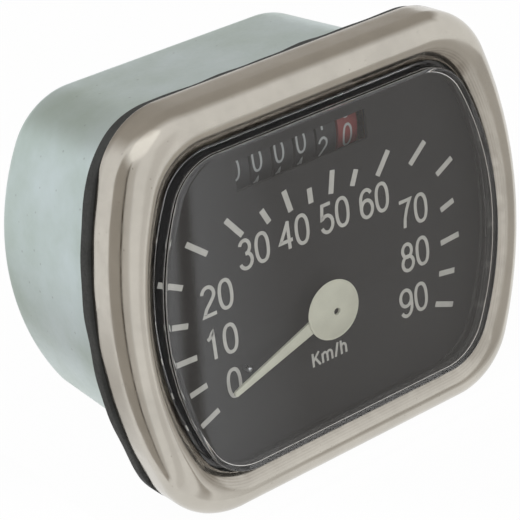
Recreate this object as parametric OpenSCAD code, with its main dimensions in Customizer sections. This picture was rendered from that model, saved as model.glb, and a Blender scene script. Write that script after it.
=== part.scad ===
// Dashboard speedometer with a rounded-rectangle bezel, an eddy-current movement and a six-drum odometer.
// Millimetres. X runs to the right of the dial, Y from the dial to the back, Z up the dial.
// The pointer and the drive share the Y axis, and Y = 0 is where the cable neck's thread starts.

/* [Bezel] */
// Width of the bezel
bezel_w = 90; // [84:0.5:110]
// Height of the bezel
bezel_h = 77; // [69:0.5:96]
// Corner radius of the bezel's outline
corner_r = 14; // [10:0.5:17]
// How far each side bows out past its corners
side_bow = 4.4; // [2:0.1:7]
// Height of the outline's middle above the pointer axis
mid_z = 9.3; // [8.5:0.1:10.5]
// Depth of the bezel from its rear edge to its crest
bezel_depth = 9.8; // [9.6:0.1:14]
// Sheet thickness of the bezel
bezel_wall = 0.9; // [0.6:0.05:1.1]
// Radius of the bezel's rounded outer edge
bezel_round = 5; // [3:0.1:6]
// Distance from the outer edge in to the crest
crest_in = 4.2; // [3:0.1:5]
// Distance from the outer edge in to the lip
lip_in = 6.7; // [6:0.1:9]
// How far the lip lies behind the crest
lip_drop = 1.8; // [1:0.1:2.4]
// How much nearer to the edge the lip lies at the sides than at its top and bottom
side_gain = 0.6; // [0:0.1:1.5]

/* [Lens and dial] */
// Gap between the lip and the raised front of the lens
lens_gap = 1.6; // [0.8:0.1:2]
// How far the front of the lens stands forward of the crest
lens_proud = 0.8; // [-0.4:0.1:1]
// Thickness of the lens front
lens_t = 2; // [1.5:0.1:3]
// Thickness of the lens's side wall
lens_side_t = 2; // [1.5:0.1:3]
// Edge radius of the raised front
lens_round = 1.4; // [0.6:0.1:1.8]
// Thickness of the lens flange
lens_flange_t = 1; // [0.8:0.1:2]
// How far the lens flange reaches past the raised front
lens_flange_w = 3.4; // [2.5:0.1:4]
// Distance from the bezel's rear edge forward to the dial's face
dial_set = 3.2; // [2.6:0.1:3.6]
// Thickness of the dial plate
dial_t = 0.8; // [0.5:0.1:1.2]
// Distance from the bezel's top edge down to the middle of the odometer window
window_drop = 17; // [16:0.1:19]
// Height of the odometer window
window_h = 5.6; // [4.5:0.1:7]
// Sideways offset of the odometer from the pointer axis
window_x = -0.65; // [-1:0.05:0]

/* [Case] */
// Depth of the case behind the panel
case_depth = 37.3; // [36:0.1:42]
// Sheet thickness of the case
case_wall = 0.8; // [0.6:0.05:1.2]
// How far the case sides lie inside the bezel's outline
case_in_x = 3.4; // [1.7:0.1:4]
// How far the case top and bottom lie inside the bezel's outline
case_in_z = 6; // [3:0.1:6.2]
// How far the case narrows towards its back
case_taper = 1.3; // [1:0.1:4]
// Radius of the rounded rear edge
case_round = 3; // [2:0.5:8]
// Corner radius of the case
case_corner_r = 14.5; // [12:0.5:17]
// Thickness of the rubber ring between bezel and panel
gasket_t = 2.3; // [1.5:0.1:4]

/* [Rear fittings] */
// Outer radius of the cable neck's thread
neck_r = 6; // [5.5:0.1:7]
// Length of the cable neck's thread
neck_len = 12.5; // [11:0.5:18]
// Thickness of the collar between the case and the thread
neck_collar_t = 1.5; // [1:0.1:2.5]
// Radius of the socket that takes the cable's ferrule
socket_r = 4.1; // [3.8:0.1:4.4]
// Depth of the socket
socket_len = 7; // [6:0.5:8]
// Side of the square drive hole
square_side = 2.7; // [2.4:0.1:3]
// Radius of the fixing studs
stud_r = 2.5; // [2:0.5:3]
// Length of the fixing studs behind the case
stud_len = 16; // [12:0.5:24]
// Distance between the two fixing studs
stud_spacing = 44; // [42:0.5:46]
// Outer radius of the lamp holder
lamp_r = 5; // [4.5:0.1:5.5]
// Distance from the bezel's left edge to the lamp's middle
lamp_in_x = 18; // [16:0.5:20]
// Distance from the bezel's top edge down to the lamp's middle
lamp_in_z = 25.8; // [24:0.1:28]

/* [Pointer] */
// Length of the needle from the pointer axis to its tip
needle_len = 24.5; // [20:0.5:27]
// Width of the needle beside the hub
needle_root_w = 2.6; // [2:0.1:3.2]
// Width of the needle at its tip
needle_tip_w = 1.1; // [0.8:0.1:1.6]
// Thickness of the needle
needle_t = 0.6; // [0.4:0.1:0.8]
// Radius of the pointer hub
hub_r = 5.75; // [4.5:0.25:7]
// Height of the hub's dome
hub_h = 1.2; // [1:0.1:1.6]
// Gap between the hub's dome and the lens
pointer_gap = 1.6; // [0.3:0.1:2]
// Angle of the needle below level at rest
rest_angle = 18.4; // [10:0.2:24]

/* [Movement] */
// Thickness of the movement's base plate
base_t = 3; // [2.5:0.1:4]
// Thickness of the front bridge
bridge_t = 2; // [1.5:0.1:2.5]
// Radius of the drive spindle's journal
journal_r = 2.5; // [2.2:0.1:2.8]
// Radius of the magnet
magnet_r = 11; // [9:0.1:11.4]
// Thickness of the magnet
magnet_t = 6; // [4:0.1:6.4]
// Air gap on each side of the speed cup
cup_gap = 1.2; // [0.8:0.1:1.3]
// Wall of the speed cup
cup_wall = 0.5; // [0.3:0.05:0.7]
// Wall of the keeper cup
keeper_wall = 1.2; // [0.8:0.1:1.5]
// Radius of the pointer spindle
spindle_r = 0.6; // [0.5:0.05:0.8]

/* [Odometer] */
// Distance between neighbouring number drums
drum_pitch = 4.85; // [4.7:0.05:5.1]
// Radius of the number drums
drum_r = 9.2; // [9.1:0.05:9.6]
// Gap between neighbouring drums
drum_gap = 0.5; // [0.4:0.05:0.6]
// Gap between the drums and the back of the dial
drum_clear = 1.5; // [0.4:0.1:1.5]
// Radius of the drum axle
axle_r = 1.2; // [1:0.05:1.3]

/* [Hidden] */
$fn = 64;
// Clearances of a fixed piece, of a turning one and along a shaft, and how far a cut runs past a face
slack = 0.05;
run_fit = 0.04;
play = 0.1;
over = 1;

// Steps of the outline's sides and corners, and of the rounded edges
side_n = 5;
corner_n = 9;
edge_n = 9;
face_n = 6;
lens_n = 4;
case_n = 5;
// How much the corners tighten with the inset, and the power of the face's fall from crest to lip
corner_keep = 0.45;
face_bend = 1.5;

// Planes along Y, from the back of the case to the crest of the bezel
case_y = -neck_collar_t;
seat_y = case_y - case_depth;
bezel_y = seat_y - gasket_t;
crest_y = bezel_y - bezel_depth;
dial_y = bezel_y - dial_set;
dial_back = dial_y + dial_t;
lip_back_y = crest_y + lip_drop + bezel_wall;
lens_front_y = crest_y - lens_proud;
lens_inner_y = lens_front_y + lens_t;
lens_flange_y = lip_back_y + slack;
lens_back_y = lens_flange_y + lens_flange_t;
base_back = case_y - case_wall;
base_front = base_back - base_t;

// Insets from the bezel's outer outline
lens_in = lip_in + lens_gap;
lens_hollow_in = lens_in + lens_side_t;
flange_in = lens_in - lens_flange_w;
rim_clear = 0.15;
case_rim_in = bezel_wall + rim_clear;
dial_in = 2.4;
ring_out_in = 3;
ring_in_in = 7;
edge_break = 0.3;
// The panel's rubber ring lies inside the edge at its top and bottom and stands out past it at the sides
gasket_in = 0.4;
gasket_out = 0.9;

// Pointer stack, from the lens back to the dial
hub_back = lens_inner_y + pointer_gap + hub_h;
needle_back = hub_back + needle_t;
needle_boss_r = 3;
peg_clear = 0.6;
peg_r = 0.55;
peg_reach = 19.1;
peg_lead = 3.4;
dial_hole_r = 2;

// Drive spindle, magnet and cup, from back to front
neck_lap = 1;
neck_front = base_front - neck_lap;
neck_collar_r = neck_r + 2.5;
spigot_r = neck_r - 0.5;
clip_t = 0.6;
clip_lap = 0.6;
clip_r = journal_r + 1;
clip_well_r = clip_r + 0.2;
clip_well_d = 1.5;
well_floor = neck_len - socket_len - clip_well_d;
clip_y = well_floor + play;
square_depth = 6;
collar_t = 1;
collar_r = journal_r + 1.1;
worm_lead = PI / 2;
worm_tip_r = 2.7;
worm_root_r = 1.75;
worm_pitch_r = 2.2;
worm_len = 9;
worm_seat_r = 1.3;
wheel_n = 26;
wheel_pitch_r = wheel_n * worm_lead / (2 * PI);
wheel_root_r = wheel_pitch_r - 0.65;
wheel_tip_r = wheel_pitch_r + 0.45;
wheel_root_w = 0.82;
wheel_tip_w = 0.3;
wheel_half_t = 1;
wheel_hub_r = 2.4;
wheel_hub_t = 2;
wheel_lap = 0.3;
wheel_y = neck_front - wheel_tip_r + wheel_lap;
wheel_z = worm_pitch_r + wheel_pitch_r;
keeper_gap = 0.5;
keeper_back = wheel_y - wheel_tip_r - keeper_gap;
keeper_floor = keeper_back - keeper_wall;
magnet_rise = 0.4;
magnet_back = keeper_floor - magnet_rise;
magnet_front = magnet_back - magnet_t;
magnet_seat_r = 2;
rim_step = 0.6;
keeper_front = magnet_front - rim_step;
cup_in_r = magnet_r + cup_gap;
cup_out_r = cup_in_r + cup_wall;
keeper_in_r = cup_out_r + cup_gap;
keeper_out_r = keeper_in_r + keeper_wall;
cup_back = magnet_back - rim_step;
cup_floor = keeper_front - cup_gap;
cup_front = cup_floor - cup_wall;
cup_hub_r = 2.2;
cup_hub_t = 1.1;
cup_hub_front = cup_front - cup_hub_t;
spindle_lead = 0.3;
spindle_front = magnet_front - spindle_lead;
pivot_depth = 2.6;
pivot_play = 0.2;
bush_r = 2.5;
bush_gap = 0.4;
bush_step = 0.6;
bush_back = cup_hub_front - bush_gap;
bridge_back = bush_back - bush_step;
bridge_front = bridge_back - bridge_t;
lever_t = 0.6;
lever_ring_r = bush_r + 1.7;
lever_w = 2.4;
lever_edge = 1.2;
bush_front = bridge_front - lever_t;
spring_gap = 0.9;
spring_h = 1;
spring_y = bush_front - spring_gap - spring_h / 2;
spring_t = 0.25;
spring_turns = 4;
spring_step = 15;
spring_in_r = 1.85;
spring_out_r = 8.2;
collet_r = 1.6;
collet_h = spring_h + 0.8;
anchor_r = 0.7;
anchor_at = spring_out_r + spring_t + anchor_r + slack;

// Odometer, carried behind the window
drum_n = 6;
axle_z = mid_z + bezel_h / 2 - window_drop;
drum_y = dial_back + drum_clear + drum_r;
axle_at = [drum_y, axle_z];
drums_right = window_x + drum_n * drum_pitch / 2;
drums_left = drums_right - drum_n * drum_pitch;
drum_w = drum_pitch - drum_gap;
drum_bore_r = axle_r + run_fit;
drum_hub_r = 2;
drum_cavity = 1.5;
ring_teeth = 20;
carry_teeth = 6;
carry_module = 0.75;
ring_pitch_r = carry_module * ring_teeth / 2;
ring_tip_r = ring_pitch_r - 0.6;
ring_root_r = ring_pitch_r + 0.75;
ring_tip_w = 1.75;
ring_root_w = 1.2;
hollow_r = ring_root_r + 0.15;
carry_pitch_r = carry_module * carry_teeth / 2;
carry_at = ring_pitch_r - carry_pitch_r;
carry_tip_r = carry_pitch_r + 0.5;
carry_root_r = carry_pitch_r - 0.9;
carry_root_w = 1;
carry_tip_w = 0.6;
carry_t = 1.1;
carry_neck_r = 0.85;
carry_lap = 0.2;
carrier_t = 0.6;
carrier_r = 6.6;
carrier_gap = 0.1;
hub_in = carrier_t / 2 + carrier_gap;
tail_t = 0.25;
tail_w = 3;
rod_r = 1;
rod_eye_r = 2;
rod_angle = -80;
rod_drop = 2.4;
rod_reach = drum_r + rod_drop;
rod_at = [drum_y + rod_reach * cos(rod_angle), axle_z + rod_reach * sin(rod_angle)];

// Gear train from the cross shaft up to the drums, in three planes side by side
shaft_at = [wheel_y, wheel_z];
train_stretch = 2.52;
gear_c = norm(axle_at - shaft_at) / train_stretch;
gear_n = 30;
pinion_n = 10;
gear_module = 2 * gear_c / (gear_n + pinion_n);
gear_t = 1.1;
gear_gap = 0.3;
train_gap = 2.1;
train_x = drums_right + train_gap;
train_step = gear_t + gear_gap;
train_hub_r = 2.2;
odometer_hub_r = drum_hub_r;
arbor_r = 1;
arbor_head_r = 1.6;
arbor_head_t = 0.5;
arbor_play = 0.2;
plate_t = 1.2;
gear_plate_x = train_x + 3 * train_step + arbor_play;
left_plate_x = drums_left - 2.8;
shaft_r = 1.2;
shaft_left = -7;
shaft_right = gear_plate_x + plate_t;

// Each arbor stands one centre distance from its neighbours on the way from the cross shaft to the drums
train_dir = atan2(axle_z - wheel_z, wheel_y - drum_y);
train_fold = acos((train_stretch - 1) / 2);
arbor_1 = shaft_at + gear_c * step_to(train_dir + train_fold);
arbor_2 = axle_at - gear_c * step_to(train_dir - train_fold);

// Plates, pillars and screws of the frame
plate_x = 29;
plate_rise = 16.2;
plate_bottom = mid_z - bezel_h / 2 + plate_rise;
base_top = 13;
base_cut = 8;
bridge_drop = 4.6;
bridge_top = axle_z - drum_r - bridge_drop;
pillar_x = 25;
pillar_r = 2.5;
pillar_spigot_r = pillar_r - 0.7;
pillar_gap = 1.7;
pillar_z = stud_r + pillar_spigot_r + pillar_gap;
dial_pillar_gap = 10;
dial_pillar_z = pillar_z - dial_pillar_gap;
dial_pillar_r = 2;
dial_spigot_r = dial_pillar_r - 0.6;
rivet_r = 1.2;
rivet_len = 4;
screw_r = 1.4;
screw_head_r = 2.5;
screw_head_h = 1.6;
screw_grip = 2.4;
screw_short = 0.2;
slot_w = 0.8;
foot_t = 1.2;
foot_w = 7;
foot_top = 4;
foot_bottom = -10;
foot_edge = 3;
bracket_half_h = 3.2;
bracket_lap = 3;
bracket_right = shaft_left + 2.2;
bracket_screw = [shaft_left - 2.4, wheel_z];
bracket_edge = 2.4;
bracket_front = wheel_y - bracket_lap;

// Washers and nuts on the studs, and the lamp beside the movement
washer_t = 0.8;
washer_r = 2 * stud_r;
nut_h = 1.6 * stud_r;
nut_r = 1.85 * stud_r;
nut_back = case_y + washer_t + nut_h;
stud_tip_r = stud_r - 0.5;
lamp_x = lamp_in_x - bezel_w / 2;
lamp_z = mid_z + bezel_h / 2 - lamp_in_z;
lamp_flange_t = 1.2;
lamp_flange_r = lamp_r + 1.6;
lamp_depth = 9;
lamp_front = case_y - lamp_depth;
lamp_floor = case_y - 2;
flange_y = case_y + lamp_flange_t;
tab_w = 3.2;
tab_t = 0.8;
tab_len = 7;
bulb_r = 3.4;
bulb_out = 2.6;

// Unit step in the Y-Z plane, with the angle counted up from the forward direction
function step_to(angle) = [-cos(angle), sin(angle)];

// Direction from one arbor to the next, as an angle in the Y-Z plane
function heading(from, to) = atan2(to[1] - from[1], to[0] - from[0]);

// One quarter of the rounded outline: half of the bowed side, then the corner
function quarter(in_x, in_z, r) =
    let (
        a = bezel_w / 2 - in_x,
        b = bezel_h / 2 - in_z,
        cx = a - r - side_bow,
        cz = b - r,
        big = ((a - cx) * (a - cx) + cz * cz - r * r) / (2 * side_bow),
        lean = atan2(cz, cx - a + big)
    )
    concat(
        [for (i = [0 : side_n]) [a - big + big * cos(lean * i / side_n), big * sin(lean * i / side_n)]],
        [for (i = [1 : corner_n])
            let (t = lean + (90 - lean) * i / corner_n) [cx + r * cos(t), cz + r * sin(t)]]
    );

// The whole outline, from the middle of the right side round over the top
function outline(in_x, in_z, r) =
    let (q = quarter(in_x, in_z, r), n = len(q))
    concat(
        [for (i = [0 : n - 1]) [q[i][0], mid_z + q[i][1]]],
        [for (i = [n - 1 : -1 : 0]) [-q[i][0], mid_z + q[i][1]]],
        [for (i = [1 : n - 1]) [-q[i][0], mid_z - q[i][1]]],
        [for (i = [n - 1 : -1 : 1]) [q[i][0], mid_z - q[i][1]]]
    );

// Outline at an inset from the bezel's edge, with corners that tighten more slowly than the inset;
// past the crest its sides come nearer to the edge
function inset(d) =
    let (past = min(1, max(0, (d - crest_in) / (lip_in - crest_in))))
    outline(d - side_gain * past, d, corner_r - corner_keep * d);

// Outline of the case, drawn in by d
function case_line(d) = outline(case_in_x + d, case_in_z + d, case_corner_r);

// Teeth with straight flanks round a circle
function teeth(n, root, tip, root_w, tip_w, phase) = [
    for (i = [0 : n - 1])
        let (t = phase + 360 * i / n, h = asin(root_w / 2 / root), k = asin(tip_w / 2 / tip))
        for (p = [[root, t - h], [tip, t - k], [tip, t + k], [root, t + h]])
            p[0] * [cos(p[1]), sin(p[1])]
];

// Places of the screws that hold the feet of the two side plates
function foot_screws() = [
    for (x = [left_plate_x + plate_t + foot_w / 2, gear_plate_x - foot_w / 2])
        for (z = [foot_bottom + foot_edge, foot_top - foot_edge])
            [x, z]
];

// Solid through rings of [y, outline]; a closed one joins the last ring to the first
module loft(rings, closed = false) {
    n = len(rings[0][1]);
    m = len(rings);
    sides = [
        for (k = [0 : closed ? m - 1 : m - 2])
            for (i = [0 : n - 1])
                let (a = k * n + i, b = k * n + (i + 1) % n, c = ((k + 1) % m) * n)
                for (f = [[a, b, c + (i + 1) % n], [a, c + (i + 1) % n, c + i]])
                    f
    ];
    caps = closed ? [] : [[for (i = [n - 1 : -1 : 0]) i], [for (i = [0 : n - 1]) (m - 1) * n + i]];
    polyhedron([for (ring = rings) for (p = ring[1]) [p[0], ring[0], p[1]]], concat(sides, caps));
}

// Flat piece with an outline in X and Z
module slab(y0, y1) {
    translate([0, y1, 0])
        rotate([90, 0, 0])
            linear_extrude(y1 - y0)
                children();
}

// Flat piece with an outline in Y and Z
module plate(x0, x1) {
    translate([x0, 0, 0])
        rotate([90, 0, 90])
            linear_extrude(x1 - x0)
                children();
}

module rod_y(r, y0, y1, x = 0, z = 0) {
    translate([x, y0, z])
        rotate([-90, 0, 0])
            cylinder(r = r, h = y1 - y0);
}

module rod_x(r, x0, x1, at) {
    translate([x0, at[0], at[1]])
        rotate([0, 90, 0])
            cylinder(r = r, h = x1 - x0);
}

// Holes through a piece that lies between two planes
module hole_y(r, y0, y1, x = 0, z = 0) {
    rod_y(r, y0 - over, y1 + over, x, z);
}

module hole_x(r, x0, x1, at) {
    rod_x(r, x0 - over, x1 + over, at);
}

module tube_y(r, bore, y0, y1, x = 0, z = 0) {
    difference() {
        rod_y(r, y0, y1, x, z);
        hole_y(bore, y0, y1, x, z);
    }
}

module box(low, high) {
    translate(low)
        cube(high - low);
}

module bezel_ring() {
    curl_in = case_in_x - rim_clear;
    turn = 90 / edge_n;
    face = [for (i = [face_n : -1 : 1])
        let (u = i / face_n) [crest_in + (lip_in - crest_in) * u, bezel_depth - lip_drop * pow(u, face_bend)]];
    edge = [for (i = [0 : edge_n])
        [crest_in * (1 - sin(turn * i)), bezel_depth - bezel_round * (1 - cos(turn * i))]];
    rear = [
        [0, edge_break], [edge_break, 0], [curl_in, 0],
        [curl_in, bezel_wall], [bezel_wall, bezel_wall + edge_break]
    ];
    under_edge = [for (i = [edge_n : -1 : 0])
        [bezel_wall + (crest_in - bezel_wall) * (1 - sin(turn * i)),
            bezel_depth - bezel_wall - (bezel_round - bezel_wall) * (1 - cos(turn * i))]];
    under_face = [for (i = [len(face) - 1 : -1 : 0]) face[i] - [0, bezel_wall]];
    roll = [[lip_in + edge_break, bezel_depth - lip_drop - bezel_wall / 2]];
    profile = concat(face, edge, rear, under_edge, under_face, roll);
    color("#c8c4ba")
        loft([for (p = profile) [bezel_y - p[1], inset(p[0])]], closed = true);
}

module lens() {
    front = [for (i = [lens_n : -1 : 0])
        let (t = 90 * i / lens_n)
        [lens_front_y + lens_round * (1 - sin(t)), inset(lens_in + lens_round * (1 - cos(t)))]];
    color("#dfe6e8", 0.3)
        loft(concat(
            front,
            [
                [lens_flange_y, inset(lens_in)],
                [lens_flange_y, inset(flange_in)],
                [lens_back_y, inset(flange_in)],
                [lens_back_y, inset(lens_hollow_in)],
                [lens_inner_y, inset(lens_hollow_in)]
            ]
        ));
}

module lens_gasket() {
    color("#2b2b2b")
        slab(lens_back_y, dial_y)
            difference() {
                polygon(inset(ring_out_in));
                polygon(inset(ring_in_in));
            }
}

module panel_gasket() {
    color("#3a3b3a")
        slab(bezel_y, seat_y)
            difference() {
                polygon(outline(-gasket_out, gasket_in, corner_r));
                polygon(case_line(-slack));
            }
}

module case_shell() {
    front_y = dial_back;
    in_round = case_round - case_wall;
    function draw_in(y) = case_taper * (y - front_y) / (case_y - front_y);
    rim = [
        [front_y, inset(case_rim_in)],
        [front_y + case_wall, inset(case_rim_in)],
        [front_y + case_wall, case_line(draw_in(front_y + case_wall))]
    ];
    outer = [for (i = [0 : case_n])
        let (t = 90 * i / case_n, y = case_y - case_round * (1 - sin(t)))
        [y, case_line(draw_in(y) + case_round * (1 - cos(t)))]];
    inner = [for (i = [case_n : -1 : 0])
        let (t = 90 * i / case_n, y = base_back - in_round * (1 - sin(t)))
        [y, case_line(case_wall + draw_in(y) + in_round * (1 - cos(t)))]];
    color("#b4c0bf")
        difference() {
            loft(concat(inner, [[front_y, case_line(case_wall)]], rim, outer));
            hole_y(spigot_r + slack, base_back, case_y);
            for (s = [-1, 1])
                hole_y(stud_r + slack, base_back, case_y, s * stud_spacing / 2);
            hole_y(lamp_r + slack, base_back, case_y, lamp_x, lamp_z);
        }
}

module dial_plate() {
    color("#3c3c3d")
        difference() {
            slab(dial_y, dial_back)
                difference() {
                    polygon(inset(dial_in));
                    translate([window_x, axle_z])
                        square([drum_n * drum_pitch, window_h], center = true);
                }
            hole_y(dial_hole_r, dial_y, dial_back);
            rest_peg(slack);
            for (s = [-1, 1])
                hole_y(rivet_r + slack, dial_y, dial_back, s * pillar_x, dial_pillar_z);
        }
}

module dial_rivets() {
    color("#3c3c3d")
        for (s = [-1, 1])
            rod_y(rivet_r, dial_y, dial_y + rivet_len, s * pillar_x, dial_pillar_z);
}

// Short peg behind the needle, just over its rest line
module rest_peg(grow = 0) {
    angle = rest_angle - peg_lead;
    rod_y(peg_r + grow, needle_back + peg_clear, dial_back, -peg_reach * cos(angle), -peg_reach * sin(angle));
}

module rest_pin() {
    color("#8d8f8e")
        rest_peg();
}

module pointer_needle() {
    root = needle_boss_r / 3;
    end = needle_len - needle_tip_w / 2;
    tip = [for (t = [-90 : 22.5 : 90]) [end, 0] + needle_tip_w / 2 * [cos(t), sin(t)]];
    color("#b4b5a5")
        difference() {
            union() {
                rod_y(needle_boss_r, hub_back, needle_back);
                slab(hub_back, needle_back)
                    rotate(180 + rest_angle)
                        polygon(concat([[root, needle_root_w / 2], [root, -needle_root_w / 2]], tip));
            }
            hole_y(spindle_r + slack, hub_back, needle_back);
        }
}

module pointer_hub() {
    dome_r = (hub_r * hub_r + hub_h * hub_h) / (2 * hub_h);
    bore = spindle_r + slack;
    function dome(r) = hub_h - dome_r + sqrt(dome_r * dome_r - r * r);
    color("#b4b5a5")
        translate([0, hub_back, 0])
            rotate([90, 0, 0])
                rotate_extrude()
                    polygon(concat(
                        [[bore, 0], [hub_r, 0]],
                        [for (i = [edge_n : -1 : 0])
                            let (r = bore + (hub_r - bore) * i / (edge_n + 1)) [r, dome(r)]]
                    ));
}

module pointer_spindle() {
    color("#a9adaf")
        rod_y(spindle_r, hub_back - hub_h / 2, spindle_front + pivot_depth - pivot_play);
}

module speed_cup() {
    color("#c9ccce")
        difference() {
            union() {
                rod_y(cup_out_r, cup_front, cup_back);
                rod_y(cup_hub_r, cup_hub_front, cup_front);
            }
            rod_y(cup_in_r, cup_floor, cup_back + over);
            hole_y(spindle_r + slack, cup_hub_front, cup_floor);
        }
}

module hairspring_collet() {
    color("#b08d48")
        tube_y(collet_r, spindle_r + slack, spring_y - collet_h / 2, spring_y + collet_h / 2);
}

// Flat spiral whose outer end meets the anchor below the spindle
module hairspring() {
    rise = (spring_out_r - spring_in_r) / (360 * spring_turns);
    turn = [for (t = [0 : spring_step : 360 * spring_turns]) t];
    function at(r, t) = r * [cos(t - 90), sin(t - 90)];
    color("#9a8f5e")
        slab(spring_y - spring_h / 2, spring_y + spring_h / 2)
            polygon(concat(
                [for (t = turn) at(spring_in_r + rise * t, t)],
                [for (i = [len(turn) - 1 : -1 : 0]) at(spring_in_r + rise * turn[i] + spring_t, turn[i])]
            ));
}

module zero_lever() {
    color("#b9bcbd")
        union() {
            difference() {
                union() {
                    rod_y(lever_ring_r, bush_front, bridge_front);
                    box([-lever_w / 2, bush_front, -anchor_at - lever_edge], [lever_w / 2, bridge_front, 0]);
                }
                hole_y(bush_r + slack, bush_front, bridge_front);
            }
            rod_y(anchor_r, spring_y - spring_h, bush_front, 0, -anchor_at);
        }
}

module front_bush() {
    color("#b08d48")
        tube_y(bush_r, spindle_r + run_fit, bush_front, bush_back);
}

module movement_base() {
    color("#9da1a3")
        difference() {
            slab(base_front, base_back)
                polygon([
                    [-plate_x, base_top], [-plate_x, plate_bottom + base_cut],
                    [base_cut - plate_x, plate_bottom], [plate_x - base_cut, plate_bottom],
                    [plate_x, plate_bottom + base_cut], [plate_x, base_top]
                ]);
            hole_y(spigot_r + slack, base_front, base_back);
            for (s = [-1, 1]) {
                hole_y(stud_r + slack, base_front, base_back, s * stud_spacing / 2);
                hole_y(pillar_spigot_r + slack, base_front, base_back, s * pillar_x, pillar_z);
            }
            for (p = concat(foot_screws(), [bracket_screw]))
                hole_y(screw_r + slack, base_front, base_back, p[0], p[1]);
        }
}

module movement_bridge() {
    color("#9da1a3")
        difference() {
            box([-plate_x, bridge_front, plate_bottom], [plate_x, bridge_back, bridge_top]);
            hole_y(bush_r + slack, bridge_front, bridge_back);
            for (s = [-1, 1]) {
                hole_y(screw_r + slack, bridge_front, bridge_back, s * pillar_x, pillar_z);
                hole_y(dial_spigot_r + slack, bridge_front, bridge_back, s * pillar_x, dial_pillar_z);
            }
        }
}

// Pillars with a spigot in the base and a threaded front end
module bridge_pillars() {
    color("#b9bcbd")
        for (s = [-1, 1])
            difference() {
                union() {
                    rod_y(pillar_r, bridge_back, base_front, s * pillar_x, pillar_z);
                    rod_y(pillar_spigot_r, base_front - over, base_back - play, s * pillar_x, pillar_z);
                }
                hole_y(screw_r + slack, bridge_back, bridge_back + screw_grip, s * pillar_x, pillar_z);
            }
}

module dial_pillars() {
    color("#b9bcbd")
        for (s = [-1, 1])
            difference() {
                union() {
                    rod_y(dial_pillar_r, dial_back, bridge_front, s * pillar_x, dial_pillar_z);
                    rod_y(dial_spigot_r, bridge_front - over, bridge_back, s * pillar_x, dial_pillar_z);
                }
                rod_y(rivet_r + slack, dial_back - over, dial_y + rivet_len + slack,
                    s * pillar_x, dial_pillar_z);
            }
}

module cheese_screw(x, z, seat, tip) {
    difference() {
        union() {
            rod_y(screw_r, seat, tip, x, z);
            rod_y(screw_head_r, seat - screw_head_h, seat, x, z);
        }
        box([x - slot_w / 2, seat - screw_head_h - over, z - screw_head_r - over],
            [x + slot_w / 2, seat - screw_head_h / 2, z + screw_head_r + over]);
    }
}

module frame_screws() {
    color("#c7cacb") {
        for (s = [-1, 1])
            cheese_screw(s * pillar_x, pillar_z, bridge_front, bridge_back + screw_grip);
        for (p = foot_screws())
            cheese_screw(p[0], p[1], base_front - foot_t, base_back - screw_short);
        cheese_screw(bracket_screw[0], bracket_screw[1], bracket_front, base_back - screw_short);
    }
}

// Shouldered studs: the thick root takes the nut, the thinner end takes what the instrument is fixed with
module rear_studs() {
    color("#c9ccc8")
        for (s = [-1, 1]) {
            rod_y(stud_r, base_front, nut_back, s * stud_spacing / 2);
            rod_y(stud_tip_r, nut_back, case_y + stud_len, s * stud_spacing / 2);
        }
}

module stud_washers() {
    color("#c9ccc8")
        for (s = [-1, 1])
            tube_y(washer_r, stud_r + slack, case_y, case_y + washer_t, s * stud_spacing / 2);
}

module stud_nuts() {
    color("#c9ccc8")
        for (s = [-1, 1])
            difference() {
                translate([s * stud_spacing / 2, case_y + washer_t, 0])
                    rotate([-90, 0, 0])
                        cylinder(r = nut_r, h = nut_h, $fn = 6);
                hole_y(stud_r + slack, case_y + washer_t, nut_back, s * stud_spacing / 2);
            }
}

module drive_neck() {
    color("#b9b6a6")
        difference() {
            union() {
                rod_y(spigot_r, neck_front, case_y);
                rod_y(neck_collar_r, case_y, 0);
                rod_y(neck_r, 0, neck_len);
            }
            hole_y(journal_r + run_fit, neck_front, neck_len);
            rod_y(clip_well_r, well_floor, neck_len);
            rod_y(socket_r, neck_len - socket_len, neck_len + over);
        }
}

module drive_spindle() {
    rear = clip_y + clip_t + clip_lap;
    collar_back = neck_front - play;
    color("#a9adaf")
        difference() {
            union() {
                rod_y(journal_r, collar_back - collar_t, rear);
                rod_y(collar_r, collar_back - collar_t, collar_back);
                rod_y(worm_seat_r, keeper_back, collar_back);
                rod_y(magnet_seat_r, spindle_front, keeper_back + play);
            }
            rod_y(spindle_r + run_fit, spindle_front - over, spindle_front + pivot_depth);
            box([-square_side / 2, rear - square_depth, -square_side / 2],
                [square_side / 2, rear + over, square_side / 2]);
        }
}

module spindle_clip() {
    color("#8b9092")
        tube_y(clip_r, journal_r + slack, clip_y, clip_y + clip_t);
}

// Single-start worm on a sleeve, with a thread space facing the wheel's lowest tooth
module drive_worm() {
    tip_half = 46;
    root_half = 103;
    marks = [-tip_half, 0, tip_half, root_half, 140, 180, 220, 360 - root_half];
    front = wheel_y - worm_len / 2;
    half_turn = 180 * worm_len / worm_lead;
    slices = 110;
    color("#b08d48")
        difference() {
            translate([0, front, 0])
                rotate([-90, 0, 0])
                    linear_extrude(worm_len, twist = 2 * half_turn, slices = slices, segments = 12)
                        rotate(90 + half_turn)
                            polygon([for (t = marks)
                                (abs(t) <= tip_half ? worm_tip_r : worm_root_r) * [cos(t), sin(t)]]);
            hole_y(worm_seat_r + slack, front, front + worm_len);
        }
}

module keeper_cup() {
    color("#7f8588")
        difference() {
            rod_y(keeper_out_r, keeper_front, keeper_back);
            rod_y(keeper_in_r, keeper_front - over, keeper_floor);
            hole_y(magnet_seat_r + slack, keeper_floor, keeper_back);
        }
}

module magnet() {
    color("#4c4f52")
        tube_y(magnet_r, magnet_seat_r + slack, magnet_front, magnet_back);
}

// Straight-toothed gear in the Y-Z plane
module gear(n, x0, at, phase) {
    m = gear_module;
    pitch_r = m * n / 2;
    translate([0, at[0], at[1]])
        plate(x0, x0 + gear_t)
            polygon(teeth(n, pitch_r - 1.25 * m, pitch_r + 0.8 * m, 1.75 * m, 0.7 * m, phase));
}

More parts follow.
